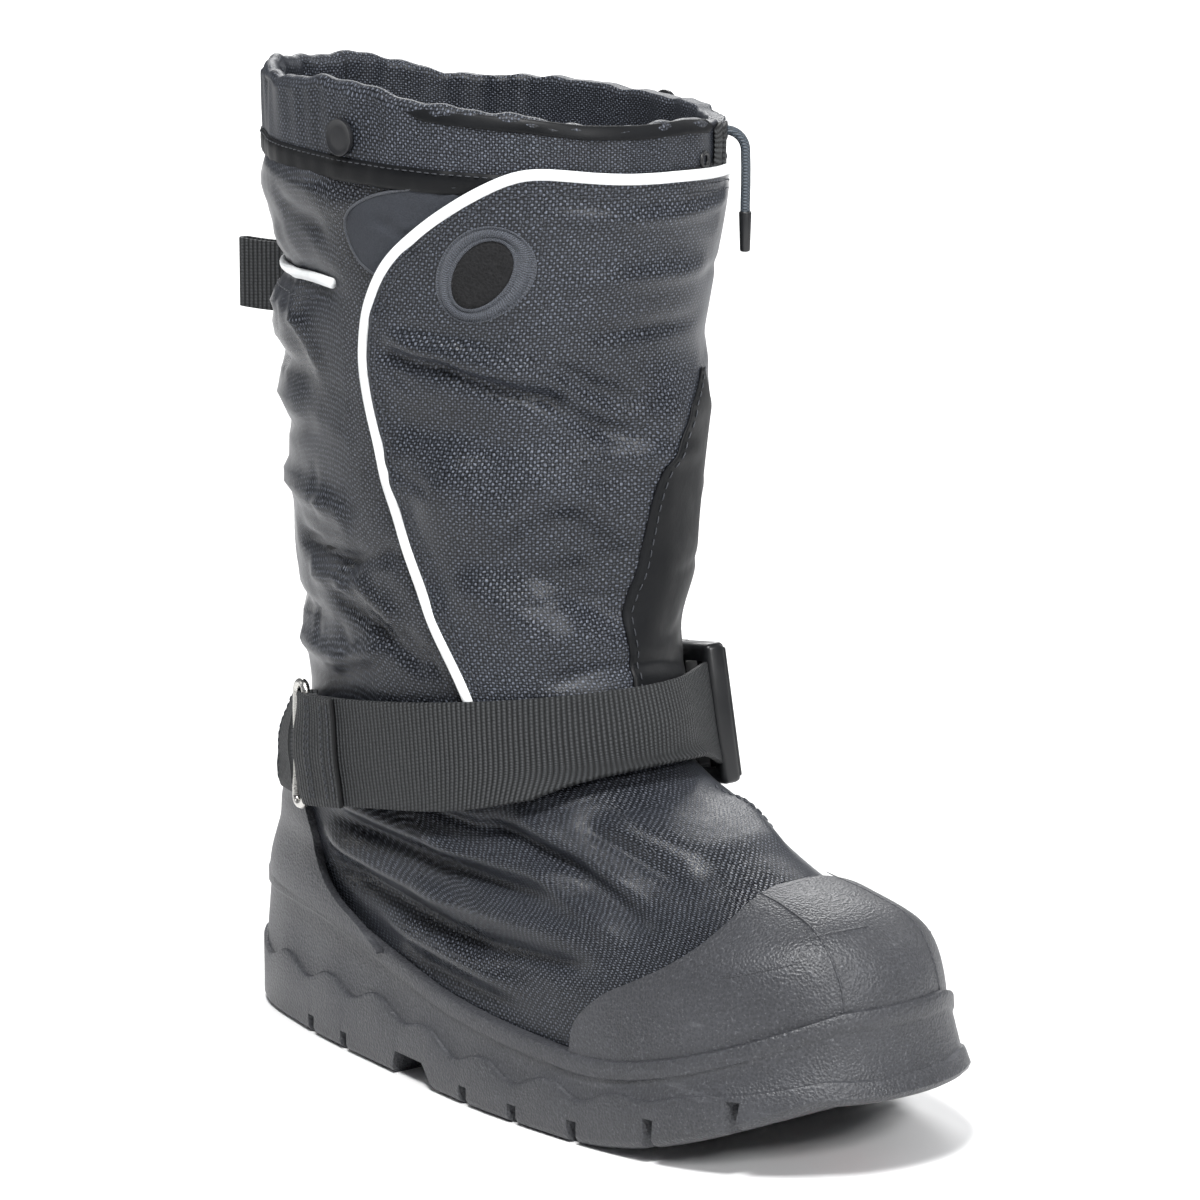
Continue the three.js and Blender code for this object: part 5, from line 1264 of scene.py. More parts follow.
class OVERSHOE_OT_guards(OvershoePiece, bpy.types.Operator):
    """Builds the rubber toe cap and heel counter with their ridges and binding"""

    bl_idname = "overshoe.guards"
    bl_label = "Toe Cap and Heel Counter"

    def edge(self, last, side, points, above_rim):
        line = curve([last.on_foot(*p) for p in points], 160)
        if above_rim:
            line = line[line[:, 1] > last.rim_height(line[:, 0]) - 1 * MM]
        spots = last.find(side, line[:, 0], line[:, 1])
        return spots[np.abs(spots[:, 0]) > 0.03]

    def crown(self, last, turn, place):
        """The lift of the toe cap's outside, which swells over the toes and dies out at its rear edge."""
        s = last.s
        x = last.skin(turn, place)[..., 0]
        ahead = smooth((x - last.toe_x + 0.24 * s.foot_length) / (0.2 * s.foot_length))
        tip = 1 - 0.5 * smooth((x - last.toe_x + 0.07 * s.foot_length) / (0.07 * s.foot_length))
        high = smooth((place - 1.0) / 2.0)
        return s.rubber_skin + s.gap + 5.0 * MM * ahead * high * tip

    def rim(self, last, turn):
        return np.stack([turn, last.place_at(turn, lambda x: last.rim_height(x) - 2 * MM)], -1)

    def build(self, context, last):
        s = last.s
        lift = s.rubber_skin + s.gap
        caps, counters = [], []
        for side in (-1, 1):
            upper = resample(self.edge(last, side, CAP_EDGE, True), 70)
            rim = self.rim(last, np.linspace(upper[0, 0], 0, 70))
            upper[-1, 0] = 0
            caps.append(fan(rim, upper, 40))
            line = resample(self.edge(last, side, COUNTER_EDGE, True)[::-1], 50)
            top = np.linspace(line[-1, 0], side * math.pi, 26)[1:]
            height = last.skin(*line[-1])[2]
            back = np.stack([top, last.level(top, height)], -1)
            upper = np.concatenate([line, back])
            share = along(upper) / along(upper)[-1]
            rim = self.rim(last, upper[0, 0] + share * (side * math.pi - upper[0, 0]))
            counters.append(fan(rim, upper, 30))
        turn, place = np.concatenate([caps[0], caps[1][:, :, -2::-1]], 2)
        crown = self.crown(last, turn, place)
        cap = cloth("rubber_toe_cap", last, turn, place, crown, s.rubber_skin, "moulded_rubber", soft=0)
        bevel(cap, 0.7, 2, math.radians(50))
        seat(cap)
        settle(cap, "sole_rubber", "toe_cap")
        turn, place = np.concatenate([counters[0], counters[1][:, :, -2::-1]], 2)
        points = last.skin(turn, place)
        foot = 1 - smooth((points[..., 2] - last.rim_height(points[..., 0])) / (24 * MM))
        skirt = lift + 2.6 * MM * foot
        skirt -= 1.9 * MM * smooth((points[..., 0] - last.on_foot(0.16, 0)[0]) / (30 * MM)) * (1 - foot)
        counter = cloth("rubber_heel_counter", last, turn, place, skirt, s.rubber_skin, "moulded_rubber", soft=0)
        bevel(counter, 0.7, 2, math.radians(50))
        seat(counter)
        settle(counter, "sole_rubber", "heel_counter")
        self.ridges(last)
        self.binding(last, counters, lift)

    def ridges(self, last):
        """Flash lines and small ribs of the toe cap's mould."""
        pieces = []
        for turn in (-0.30, 0.30):
            place = np.linspace(0.9, 4.9, 40)
            line, out = last.track(turn, place, self.crown(last, turn, place))
            fade = np.sin(np.linspace(0.05, math.pi - 0.05, 40)) ** 0.3
            pieces.append(swept("rib", line, out, oval(0.5, 0.35, 8), "moulded_rubber", fade))
        for turn, place, reach in ((-0.2, 3.1, 0.16), (-0.62, 2.6, 0.18), (0.62, 2.6, 0.18)):
            turns = np.linspace(turn - reach, turn + reach, 24)
            line, out = last.track(turns, place, self.crown(last, turns, place))
            fade = np.sin(np.linspace(0.05, math.pi - 0.05, 24)) ** 0.4
            pieces.append(swept("rib", line, out, oval(0.45, 0.3, 8), "moulded_rubber", fade))
        settle(joined("toe_cap_ribs", *pieces), "sole_rubber")

    def binding(self, last, counters, lift):
        """Cloth binding over the counter's upper edge."""
        outer, inner = (np.stack([c[0][-1], c[1][-1]], -1) for c in counters)
        edge = np.concatenate([outer, inner[-2::-1]])[34:-34]
        line, out = last.track(*edge.T, lift - 0.6 * MM)
        tape = swept("counter_binding", line, out, oval(2.1, 1.2, 12), "counter_binding")
        settle(tape, "flap_cloth")


class OVERSHOE_OT_shaft(OvershoePiece, bpy.types.Operator):
    """Builds the hollow cloth shaft and vamp, their lining and seams"""

    bl_idname = "overshoe.shaft"
    bl_label = "Shaft"

    def build(self, context, last):
        turn = all_round(320, -math.pi)[None, :]
        place = np.linspace(0.0, last.collar - 0.45, 190)[:, None]
        hug = smooth((place - 0.8) / 1.2) * smooth((last.collar - place) / 0.8)
        shell = cloth("shaft_shell", last, turn, place, 0.0, 1.3 * MM, "shell_cloth", True, hug)
        settle(shell, "shaft_cloth", "upper")
        lining = cloth(
            "shaft_lining", last, turn[:, ::2], place[::2], -2.4 * MM, 0.9 * MM, "lining_cloth", True, hug[::2]
        )
        settle(lining, "lining")
        self.seams(last)

    def seams(self, last):
        """Stitched seams: down the vamp to the toe cap, and round the back of the shaft below its piping."""
        lines = []
        for side in (-1, 1):
            place = np.linspace(6.2, 8.0, 60)
            turn = side * (0.55 - 0.10 * np.sin((place - 6.2)))
            for shift in (0, 0.035):
                t = turn + side * shift
                lines.append(last.track(t, place, 0.15 * MM, 1.0))
            turn = side * np.linspace(1.75, 3.1, 90)
            place = last.level(turn, last.on_shaft(0, SEAM_RISE)[1])
            lines.append(last.track(turn, place, 0.15 * MM, 1.0))
        settle(stitches("shaft_seams", lines, 3.2, 2.2, 0.32), "shaft_cloth")


class OVERSHOE_OT_collar(OvershoePiece, bpy.types.Operator):
    """Builds the snow collar, turned down over the rim, with its tape, channel and eyelets"""

    bl_idname = "overshoe.collar"
    bl_label = "Snow Collar"

    def fold_rise(self, turn):
        """How far the gathered fold stands above the rim."""
        lean = np.interp(turn, RIM_TURNS, RIM_RISES)
        ripple = 1.1 * np.sin(7 * turn) + 0.8 * np.sin(4 * turn + 1)
        gathers = 0.45 * np.sin(23 * turn + 2 * np.sin(3 * turn)) + 0.3 * np.sin(41 * turn)
        return (4 + lean + ripple + gathers) * MM

    def gathers(self, turn, height):
        """Soft upright pleats under the drawn rim; height runs from 0 at the fold to 1 at the cuff's edge."""
        wide = np.sin(19 * turn + 2.2 * np.sin(5 * turn) + 1.2 * height)
        fine = np.sin(47 * turn + 1.5 * np.sin(11 * turn) - 2.0 * height)
        back = 0.55 + 0.45 * smooth((np.abs(turn) - 1.2) / 0.9)
        return back * (0.7 * wide * (1 - 0.5 * height) + 0.35 * fine * (1 - height)) * MM

    def build(self, context, last):
        s = last.s
        turn = all_round(384, -math.pi)
        bottom = float(last.level(math.pi / 2, s.boot_height - s.cuff_drop))
        inside = float(last.level(math.pi / 2, s.boot_height - s.cuff_inside))
        mid = s.gap + 0.75 * MM
        wall = s.upper_wall
        rise = self.fold_rise(turn)
        rows = []
        for share in np.linspace(0, 1, 22):
            place = bottom + share * (last.collar - bottom)
            row = last.lifted(turn, place, mid + self.gathers(turn, 1 - share))
            row[:, 2] += rise * 0.72 * smooth((share - 0.25) / 0.75)
            rows.append(row)
        half = wall / 2 + mid
        for angle in np.linspace(0.25, math.pi - 0.25, 9):
            row = last.lifted(turn, last.collar, -wall / 2 + half * math.cos(angle))
            row[:, 2] += rise * (0.72 + 0.28 * math.sin(angle))
            rows.append(row)
        for share in np.linspace(1, 0, 26):
            place = inside + share * (last.collar - inside)
            troughs = np.minimum(0, last.folds(last.skin(turn, place))) * smooth((last.collar - place) / 0.8)
            depth = -wall - mid - 0.8 * MM + troughs + self.gathers(turn + 0.05, 1 - share)
            row = last.lifted(turn, place, depth)
            row[:, 2] += rise * 0.72 * smooth((share - 0.45) / 0.55)
            rows.append(row)
        points = np.array(rows)
        around = last.cloth_uv(turn, last.collar)[:, 0]
        around = np.append(around, around[0] + 2 * math.pi * 0.075)
        up = along(points[:, 0])
        outward = last.normal(turn, last.collar - 1.0)
        collar = surface("turned_collar", points, laid_uv(around, up), outward, "collar_cloth", closed=True)
        if np.dot(collar.data.polygons[10].normal, outward[10]) < 0:
            recalculate(collar)
        modify(collar, "SOLIDIFY", thickness=1.3 * MM, offset=0.0)
        settle(collar, "collar_cloth", "snow_collar")
        self.tape(last, bottom, mid)
        self.channel(last, mid)
        self.eyelets(last, mid)

    def tape(self, last, bottom, mid):
        """Binding folded round the cuff's lower edge, with a row of stitches above it."""
        turn = all_round(384, -math.pi)
        edge = last.s.boot_height - last.s.cuff_drop
        up = float(last.level(math.pi / 2, edge + 7.5 * MM)) - bottom
        rows = []
        for share, lift in ((1, 0.9), (0.98, 1.25), (0.5, 1.4), (0.08, 1.3), (-0.08, 0.9), (-0.12, 0.2), (-0.06, -0.5)):
            pleat = self.gathers(turn, 1 - 0.3 * share) + 0.12 * MM * np.sin(60 * turn)
            rows.append(last.lifted(turn, bottom + share * up, mid + lift * MM + pleat))
        outward = last.normal(turn, bottom)
        piece = surface("cuff_tape", np.array(rows), None, outward, "binding_tape", closed=True)
        modify(piece, "SOLIDIFY", thickness=0.5 * MM, offset=-1.0)
        settle(piece, "collar_cloth")
        rows = [last.track(turn, bottom + 0.82 * up, mid + 1.45 * MM + self.gathers(turn, 0.75))]
        settle(stitches("cuff_stitches", rows, 3.0, 2.0, 0.22), "collar_cloth")

    def channel(self, last, mid):
        """The cord's smooth channel along the front of the fold, and the ribbed tab at its end."""
        turn = np.linspace(-1.2, 0.45, 151)
        place = last.collar - 0.06
        line = last.lifted(turn, place, mid + 0.5 * MM)
        line[:, 2] += np.interp(turn, turn[::25], self.fold_rise(turn[::25])) * 0.72 + 1.0 * MM
        ends = smooth((turn - turn[0]) / 0.12) * smooth((turn[-1] - turn) / 0.1) * 0.9 + 0.1
        out = unit(last.normal(turn, place) + [0, 0, 0.35])
        strip = swept("cord_channel", line, out, oval(2.5, 0.55, 12), "binding_tape", ends)
        settle(strip, "collar_cloth")
        shape = (last.collar - 0.02, last.collar - 0.22, last.collar - 0.52, last.collar - 0.80, last.collar - 0.98)
        place = np.interp(np.linspace(0, 4, 30), range(5), shape)
        for number, (turn, width) in enumerate(((0.48, 4.2), (0.60, 3.2)), 1):
            turns = turn + 0.012 * np.sin(np.linspace(0, 5, 30))
            line = last.lifted(turns, place, mid + 1.2 * MM)
            line[:, 2] += (self.fold_rise(turns) * 0.6) * smooth((place - last.collar + 0.5) / 0.5)
            section = oval(width, 0.8, 12)
            tab = swept(f"gather_tab_{number}", line, last.normal(turns, place), section, "ribbed_webbing")
            settle(tab, "webbing")

    def eyelets(self, last, mid):
        """The eyelet that the cord leaves by, and a dark one beside the tab."""
        exits = ((0.6872, 329.2, 3.6), (0.33, 322.0, 3.4))
        for number, (turn, height, radius) in enumerate(exits, 1):
            place = float(last.level(turn, height * MM))
            centre = last.lifted(turn, place, mid + 1.0 * MM)
            ring = primitive(
                "torus", f"cord_eyelet_{number}", "buckle_plastic", major_radius=radius * 0.72 * MM,
                minor_radius=0.85 * MM, major_segments=40, minor_segments=12,
            )
            seat(ring, frame_at(centre, (0, 0, 1), last.normal(turn, place)))
            settle(ring, "buckle_plastic")


class OVERSHOE_OT_flap(OvershoePiece, bpy.types.Operator):
    """Builds the wrapped flap with its piping, seams, hook patch and oval window"""

    bl_idname = "overshoe.flap"
    bl_label = "Wrapped Flap"

    def edges(self, last):
        found = []
        for side, shares in ((-1, OUTER_FLAP_EDGE), (1, INNER_FLAP_EDGE)):
            line = curve([last.on_shaft(*p) for p in shares], 240)
            low = last.strap_height(line[:, 0]) - 0.3 * last.s.webbing_width
            line = line[line[:, 1] > low]
            spots = last.find(side, line[:, 0], line[:, 1])
            on = np.abs(spots[:, 0]) > 0.02
            spots = spots[np.argmax(on):]
            spots = np.concatenate([[[0, spots[0, 1]]], spots])
            found.append(spots)
        front = (found[0][0, 1] + found[1][0, 1]) / 2
        for spots in found:
            near = smooth(1 - np.abs(spots[:, 0]) / 0.5)
            spots[:, 1] += (front - spots[0, 1]) * near
        return found

    def build(self, context, last):
        s = last.s
        low_lift = 2 * s.gap + 1.5 * MM
        top_lift = low_lift + s.flap_skin
        edges = self.edges(last)
        self.panel(last, edges, top_lift)
        self.piping(last, edges, low_lift)
        self.badge(last, top_lift)
        self.hook(last)
        self.front_seams(last, edges[1], top_lift)

    def panel(self, last, edges, top_lift):
        halves = []
        for spots in edges:
            run = along(last.skin(*spots.T))
            even = np.linspace(0, run[-1], 190)
            edge = np.stack([np.interp(even, run, spots[:, k]) for k in (0, 1)], -1)
            front = np.stack([np.zeros(190), np.linspace(edge[0, 1], edge[-1, 1] - 0.35, 190)], -1)
            inset = edge.copy()
            inset[:, 0] *= 1 - 0.02
            halves.append(fan(front, inset, 70))
        turn = np.concatenate([halves[0][0][::-1], halves[1][0][1:]])
        place = np.concatenate([halves[0][1][::-1], halves[1][1][1:]])
        piece = cloth("wrap_flap", last, turn, place, top_lift, 2.0 * MM, "flap_cloth")
        settle(piece, "flap_cloth", "front_flap")

    def piping(self, last, edges, low_lift):
        s = last.s
        tops = (0.5 * s.webbing_width, 0.5 * s.buckle_width + s.piping_width)
        for name, node, spots, top in (
            ("outer_piping", "flap_piping", edges[0], tops[0]),
            ("inner_piping_tape", "inner_piping", edges[1], tops[1]),
        ):
            points = last.skin(*spots.T)
            spots = spots[points[:, 2] > last.strap_height(points[:, 0]) + top - 1 * MM]
            run = along(last.skin(*spots.T))
            even = np.linspace(0, run[-1], 260)
            turn, place = (np.interp(even, run, spots[:, k]) for k in (0, 1))
            line = evened(last.lifted(turn, place, low_lift + 1.95 * MM, 1.0), 12)
            out = last.normal(turn, place)
            tape = swept(name, line, out, oval(1.95, 1.35, 14), "reflective_piping")
            settle(tape, "reflective_piping", node)
            ahead = unit(np.gradient(line, axis=0))
            side = unit(np.cross(ahead, out)) * (1 if spots[-1, 0] < 0 else -1)
            rows = []
            for shift in (-3.4, -6.2):
                shifted = line + side * shift * MM + out * 0.65 * MM
                rows.append((shifted[8:], out[8:]))
            settle(stitches(f"{name}_stitches", rows, 2.9, 1.9, 0.2), "flap_cloth")
        turn = np.linspace(1.62, 2 * math.pi - 1.62, 220)
        place = last.level(turn, last.on_shaft(0, BACK_PIPING_RISE)[1])
        line, out = last.track(turn, place, 1.6 * MM, 1.0)
        tape = swept("back_piping_tape", line, out, oval(1.9, 1.4, 14), "reflective_piping")
        settle(tape, "reflective_piping", "back_piping")

    def window_edge(self, last, radius, count):
        """Surface spots round the window, at a distance from its edge."""
        x, z = last.on_shaft(*WINDOW_AT)
        angle = all_round(count)
        a = (WINDOW_HALF_WIDTH + radius) * np.cos(angle)
        b = (WINDOW_HALF_HEIGHT + radius) * np.sin(angle)
        cos, sin = math.cos(WINDOW_LEAN), math.sin(WINDOW_LEAN)
        return last.find(-1, x + a * cos + b * sin, z - a * sin + b * cos)

    def badge(self, last, top_lift):
        """The embroidered oval with its dark pile window."""
        rows, arc = [], []
        profile = (
            (-0.6, -1.4), (-0.5, 0.4), (-0.1, 0.75), (0.5, 0.5), (0.8, 0.1), (1.3, 0.8), (2.2, 1.2),
            (3.0, 0.9), (3.3, 0.1), (3.8, 0.05), (4.1, 0.45), (4.4, 0.4), (4.6, -0.4),
        )
        for radius, lift in profile:
            spots = self.window_edge(last, radius * MM, 120)
            rows.append(last.lifted(*spots.T, top_lift + lift * MM, 1.0))
            arc.append(radius * MM)
        points = np.array(rows)
        turn = np.linspace(0, 2 * math.pi * 14 * MM, 121)
        uv = laid_uv(turn, np.array(arc))[..., ::-1]
        out = last.normal(*self.window_edge(last, 0, 120).T)
        ring = surface("oval_badge", points, uv, out, "badge_thread", closed=True)
        settle(ring, "flap_cloth", "oval_ring")
        rows = []
        for share, lift in ((1.0, 0.2), (0.97, 1.1), (0.8, 1.35), (0.55, 1.5), (0.3, 1.5), (0.06, 1.5)):
            centre = self.window_edge(last, -(1 - share) * 8 * MM, 120).mean(0)
            spots = centre + (self.window_edge(last, 0, 120) - centre) * share
            rows.append(last.lifted(*spots.T, top_lift - 0.9 * MM + lift * MM, 1.0))
        window = surface("pile_window", np.array(rows), None, out, "window_pile", closed=True, capped=True)
        settle(window, "fleece", "oval_window")

    def hook(self, last):
        """The smooth hook patch that peeks out behind the flap, with its edge thread."""
        line = curve([last.on_shaft(*p) for p in HOOK_EDGE], 80)
        edge = last.find(-1, line[:, 0], line[:, 1])
        under = np.linspace(last.on_shaft(0.81, 0.895), last.on_shaft(0.70, 0.765), 80)
        straight = last.find(-1, under[:, 0], under[:, 1])
        turn, place = fan(straight, edge, 24)
        lift = last.s.gap + 1.4 * MM
        patch = cloth("hook_tape_patch", last, turn, place, lift, 1.3 * MM, "hook_tape")
        settle(patch, "hook_tape", "hook_patch")
        border, out = last.track(*edge[2:-2].T, lift - 0.1 * MM, 1.0)
        thread = swept("hook_patch_edge", border, out, oval(0.55, 0.45, 8), "sewing_thread")
        settle(thread, "hook_tape")

    def front_seams(self, last, edge, top_lift):
        """The middle seam, the smooth facing along the front and the rows sewn beside it."""
        height = np.linspace(132, 318, 120) * MM
        x = np.interp(height, np.array([132, 171, 236, 300, 318]) * MM, np.array([135, 136, 137, 145, 147]) * MM)
        rows = [last.track(*last.find(-1, x, height).T, top_lift + 0.15 * MM, 1.0)]
        settle(stitches("middle_seam", rows, 3.4, 1.3, 0.24), "flap_cloth")
        heights = np.linspace(138, 250, 110) * MM
        left = np.interp(heights, np.array([138, 152, 168, 193, 219, 240, 250]) * MM, FACING_TURNS)
        left = left + 0.015 * np.sin(heights / 0.007)
        inner = last.skin(edge[:, 0], edge[:, 1])[:, 2]
        right = np.interp(heights, inner[::-1], edge[::-1, 0]) - 0.02
        widest = np.interp(heights, np.array([138, 225, 250]) * MM, (1.5, 0.55, 0.05))
        right = np.minimum(right, left + widest)
        share = np.linspace(0, 1, 26)[:, None]
        turn = left[None] * (1 - share) + right[None] * share
        place = last.level(turn, heights[None])
        # The facing is smooth dark tape; its dark tone also stands in as painted shade on the front's inner side,
        # turned from the lights.
        facing = cloth("front_facing", last, turn, place, top_lift + 0.75 * MM, 0.7 * MM, "binding_tape")
        settle(facing, "flap_cloth")
        sewn = left + 0.05
        rows = [last.track(sewn, last.level(sewn, heights), top_lift + 0.95 * MM, 1.0)]
        settle(stitches("facing_stitches", rows, 4.0, 2.6, 0.24), "flap_cloth")


class OVERSHOE_OT_strap(OvershoePiece, bpy.types.Operator):
    """Builds the instep strap, its sewn fold, the heel tabs and the wire rings"""

    bl_idname = "overshoe.strap"
    bl_label = "Instep Strap"

    @staticmethod
    def band(name, points, outward, across, thick=2 * MM):
        """A webbing band from a grid of points on its middle surface."""
        run = along(points[:, len(across) // 2])
        piece = surface(name, points, laid_uv(across, run), outward, "ribbed_webbing")
        modify(piece, "SOLIDIFY", thickness=thick, offset=0.0)
        bevel(piece, 0.45, 2, math.radians(50))
        return piece

    def build(self, context, last):
        s = last.s
        place = buckle_seat(last)
        half = s.webbing_width / 2
        across = np.linspace(-half, half, 15)
        lift = 2 * s.gap + 1.5 * MM + s.flap_skin + 1.5 * MM + s.webbing_skin / 2
        ring_lift = RING_LIFT
        start = last.turn_beyond(OUTER_RING_TURN, -s.ring_length / 2 - 0.5 * MM, ring_lift)
        lying = np.linspace(start, BUCKLE_FRONT_TURN - FREE_TURN, 170)
        points, outward = last.strap_grid(lying, across, lift)
        end, end_out = self.at_buckle(place, across, -1, s)
        points, outward = self.bridged(points, outward, end, end_out, 24)
        settle(self.band("instep_strap", points, outward, across), "webbing", "front_strap")
        self.fold(last, across, ring_lift, lift)
        stop = last.turn_beyond(INNER_RING_TURN, -s.ring_length / 2 - 0.5 * MM, ring_lift)
        first = (place["rear_turn"] + stop) / 2
        points, outward = last.strap_grid(np.linspace(stop, first, 30), across, ring_lift)
        begin, begin_out = self.at_buckle(place, across, 1, s)
        points, outward = self.bridged(points, outward, begin, begin_out, 20)
        settle(self.band("rear_webbing", points, outward, across), "webbing", "rear_strap")
        for name, turn in (("outer", OUTER_RING_TURN), ("inner", INNER_RING_TURN)):
            self.ring(last, name, turn, ring_lift)
            self.tab(last, name, turn, ring_lift)

    @staticmethod
    def at_buckle(place, across, end, s):
        centre = place["middle"] + place["back"] * end * (s.buckle_length / 2 - 6 * MM)
        points = centre[None] + place["up"][None] * across[:, None]
        return points, np.broadcast_to(place["outward"], points.shape)

    @staticmethod
    def bridged(points, outward, end, end_out, steps):
        """Carries the strap on from its last section to another, on a slack curve."""
        slope = points[-1] - points[-2]
        reach = np.linalg.norm(end - points[-1], axis=-1)[:, None]
        slope = slope / np.linalg.norm(slope, axis=-1, keepdims=True) * reach
        share = np.linspace(0, 1, steps + 1)[1:, None, None]
        a, b = points[-1][None], end[None]
        bend = share * share * (3 - 2 * share)
        more = a + (b - a) * (0.35 * bend + 0.65 * share) + slope[None] * 0.25 * share * (1 - share) ** 2
        out = unit(outward[-1][None] * (1 - share) + end_out[None] * share)
        return np.concatenate([points, more]), np.concatenate([outward, out])

    def fold(self, last, across, ring_lift, lift):
        """The strap's end, folded round the outer ring's wire and sewn down, with its stitch rows."""
        bar = -1.5 * MM
        route = [(-31, lift / MM + 2.1), (-20, lift / MM + 2.1), (bar / MM - 5, lift / MM + 2.2), (bar / MM - 2, 8.6)]
        route += [(bar / MM + 2.6 * math.sin(a), 5 + 2.9 * math.cos(a)) for a in np.linspace(0, math.pi, 9)]
        route += [(bar / MM - 3.5, 3.2)]
        distances = np.array([-r[0] for r in route]) * MM
        reach = np.linspace(-0.3, 0.75, 60)
        side = [last.strap_point(OUTER_RING_TURN + r, ring_lift) for r in reach]
        run = along(np.array(side))
        zero = np.interp(0, reach, run)
        turns = OUTER_RING_TURN + np.interp(zero + distances, run, reach)
        fine = curve(np.stack([turns, np.array([r[1] for r in route]) * MM], -1), 60)
        grid, out = last.strap_grid(fine[:, 0], across, fine[:, 1:2])
        outward = grid_normals(grid)
        outward = outward * np.sign(np.sum(outward[0, 7] * out[0, 7]))
        settle(self.band("strap_fold", grid, outward, across, 1.8 * MM), "webbing")
        rows = []
        for distance in (12.5, 15.0, 24.0, 28.5):
            turn = OUTER_RING_TURN + np.interp(zero + distance * MM, run, reach)
            line, normal = last.strap_grid(np.array([turn]), across * 0.93, lift + 3.2 * MM)
            rows.append((line[0], normal[0]))
        settle(stitches("strap_stitches", rows, 2.6, 1.9, 0.3), "webbing")

    def ring(self, last, name, turn, ring_lift):
        """A wire ring with round corners."""
        s = last.s
        bpy.ops.object.select_all(action="DESELECT")
        bpy.ops.mesh.primitive_plane_add(size=1)
        piece = bpy.context.object
        piece.name = f"wire_ring_{name}"
        piece.scale = (s.ring_length - s.ring_wire - 4 * MM, s.webbing_width + s.ring_wire + 2 * MM, 1)
        bpy.ops.object.transform_apply(scale=True)
        bpy.ops.object.mode_set(mode="EDIT")
        bpy.ops.mesh.select_all(action="SELECT")
        bpy.ops.mesh.bevel(offset=3.2 * MM, segments=6, affect="VERTICES")
        bpy.ops.mesh.delete(type="ONLY_FACE")
        bpy.ops.object.mode_set(mode="OBJECT")
        bpy.ops.object.convert(target="CURVE")
        piece = bpy.context.object
        piece.data.bevel_depth = s.ring_wire / 2
        piece.data.bevel_resolution = 4
        bpy.ops.object.convert(target="MESH")
        piece = bpy.context.object
        piece.data.name = piece.name
        piece.data.materials.clear()
        piece.data.materials.append(finish("wire_steel"))
        side = math.copysign(1, turn)
        ahead = last.strap_point(turn - side * 0.05, ring_lift) - last.strap_point(turn + side * 0.05, ring_lift)
        out = last.normal(turn, last.place_at(turn, last.strap_height))
        seat(piece, frame_at(last.strap_point(turn, ring_lift), ahead, out))
        settle(piece, "ring_steel", f"ring_{name}")

    def tab(self, last, name, turn, ring_lift):
        """The heel tab: webbing that runs from the counter round the ring's rear bar and back."""
        s = last.s
        side = math.copysign(1, turn)
        bar = s.ring_length / 2 - s.ring_wire / 2
        reach = np.linspace(-0.1, 0.9, 60)
        line = np.array([last.strap_point(turn + side * r, ring_lift) for r in reach])
        run = along(line)
        zero = np.interp(0, reach, run)
        route = [(30, 3.8), (20, 3.9), (bar / MM + 4, 3.6)]
        route += [(bar / MM - 2.3 * math.sin(a), 5 - 2.6 * math.cos(a)) for a in np.linspace(0.4, math.pi - 0.4, 7)]
        route += [(bar / MM + 4, 6.6), (20, 5.8), (27, 5.6)]
        route = np.array(route) * MM
        turns = turn + side * np.interp(zero + route[:, 0], run, reach)
        fine = curve(np.stack([turns, route[:, 1]], -1), 70)
        half = 16.5 * MM
        across = np.linspace(-half, half, 11)
        grid, _ = last.strap_grid(fine[:, 0], across, fine[:, 1:2])
        piece = self.band(f"heel_tab_{name}", grid, grid_normals(grid), across, 1.5 * MM)
        settle(piece, "webbing", f"ring_tab_{name}")
        rows = []
        for distance in (14, 24):
            t = turn + side * np.interp(zero + distance * MM, run, reach)
            line, normal = last.strap_grid(np.array([t]), across * 0.9, 6.6 * MM)
            rows.append((line[0], normal[0]))
        settle(stitches(f"heel_tab_{name}_stitches", rows, 2.6, 1.9, 0.28), "webbing")


def buckle_seat(last):
    """Where the buckle lies: its middle and its directions back along the strap, up and outward."""
    lift = BUCKLE_LIFT
    rear_turn = last.turn_beyond(BUCKLE_FRONT_TURN, last.s.buckle_length, lift)
    front, rear = last.strap_point(BUCKLE_FRONT_TURN, lift), last.strap_point(rear_turn, lift)
    back = unit(rear - front)
    turn = (BUCKLE_FRONT_TURN + rear_turn) / 2
    away = last.normal(turn, last.place_at(turn, last.strap_height))
    up = unit(np.cross(away, back))
    outward, middle = np.cross(back, up), (front + rear) / 2
    return {"middle": middle, "back": back, "up": up, "outward": outward, "rear_turn": rear_turn}


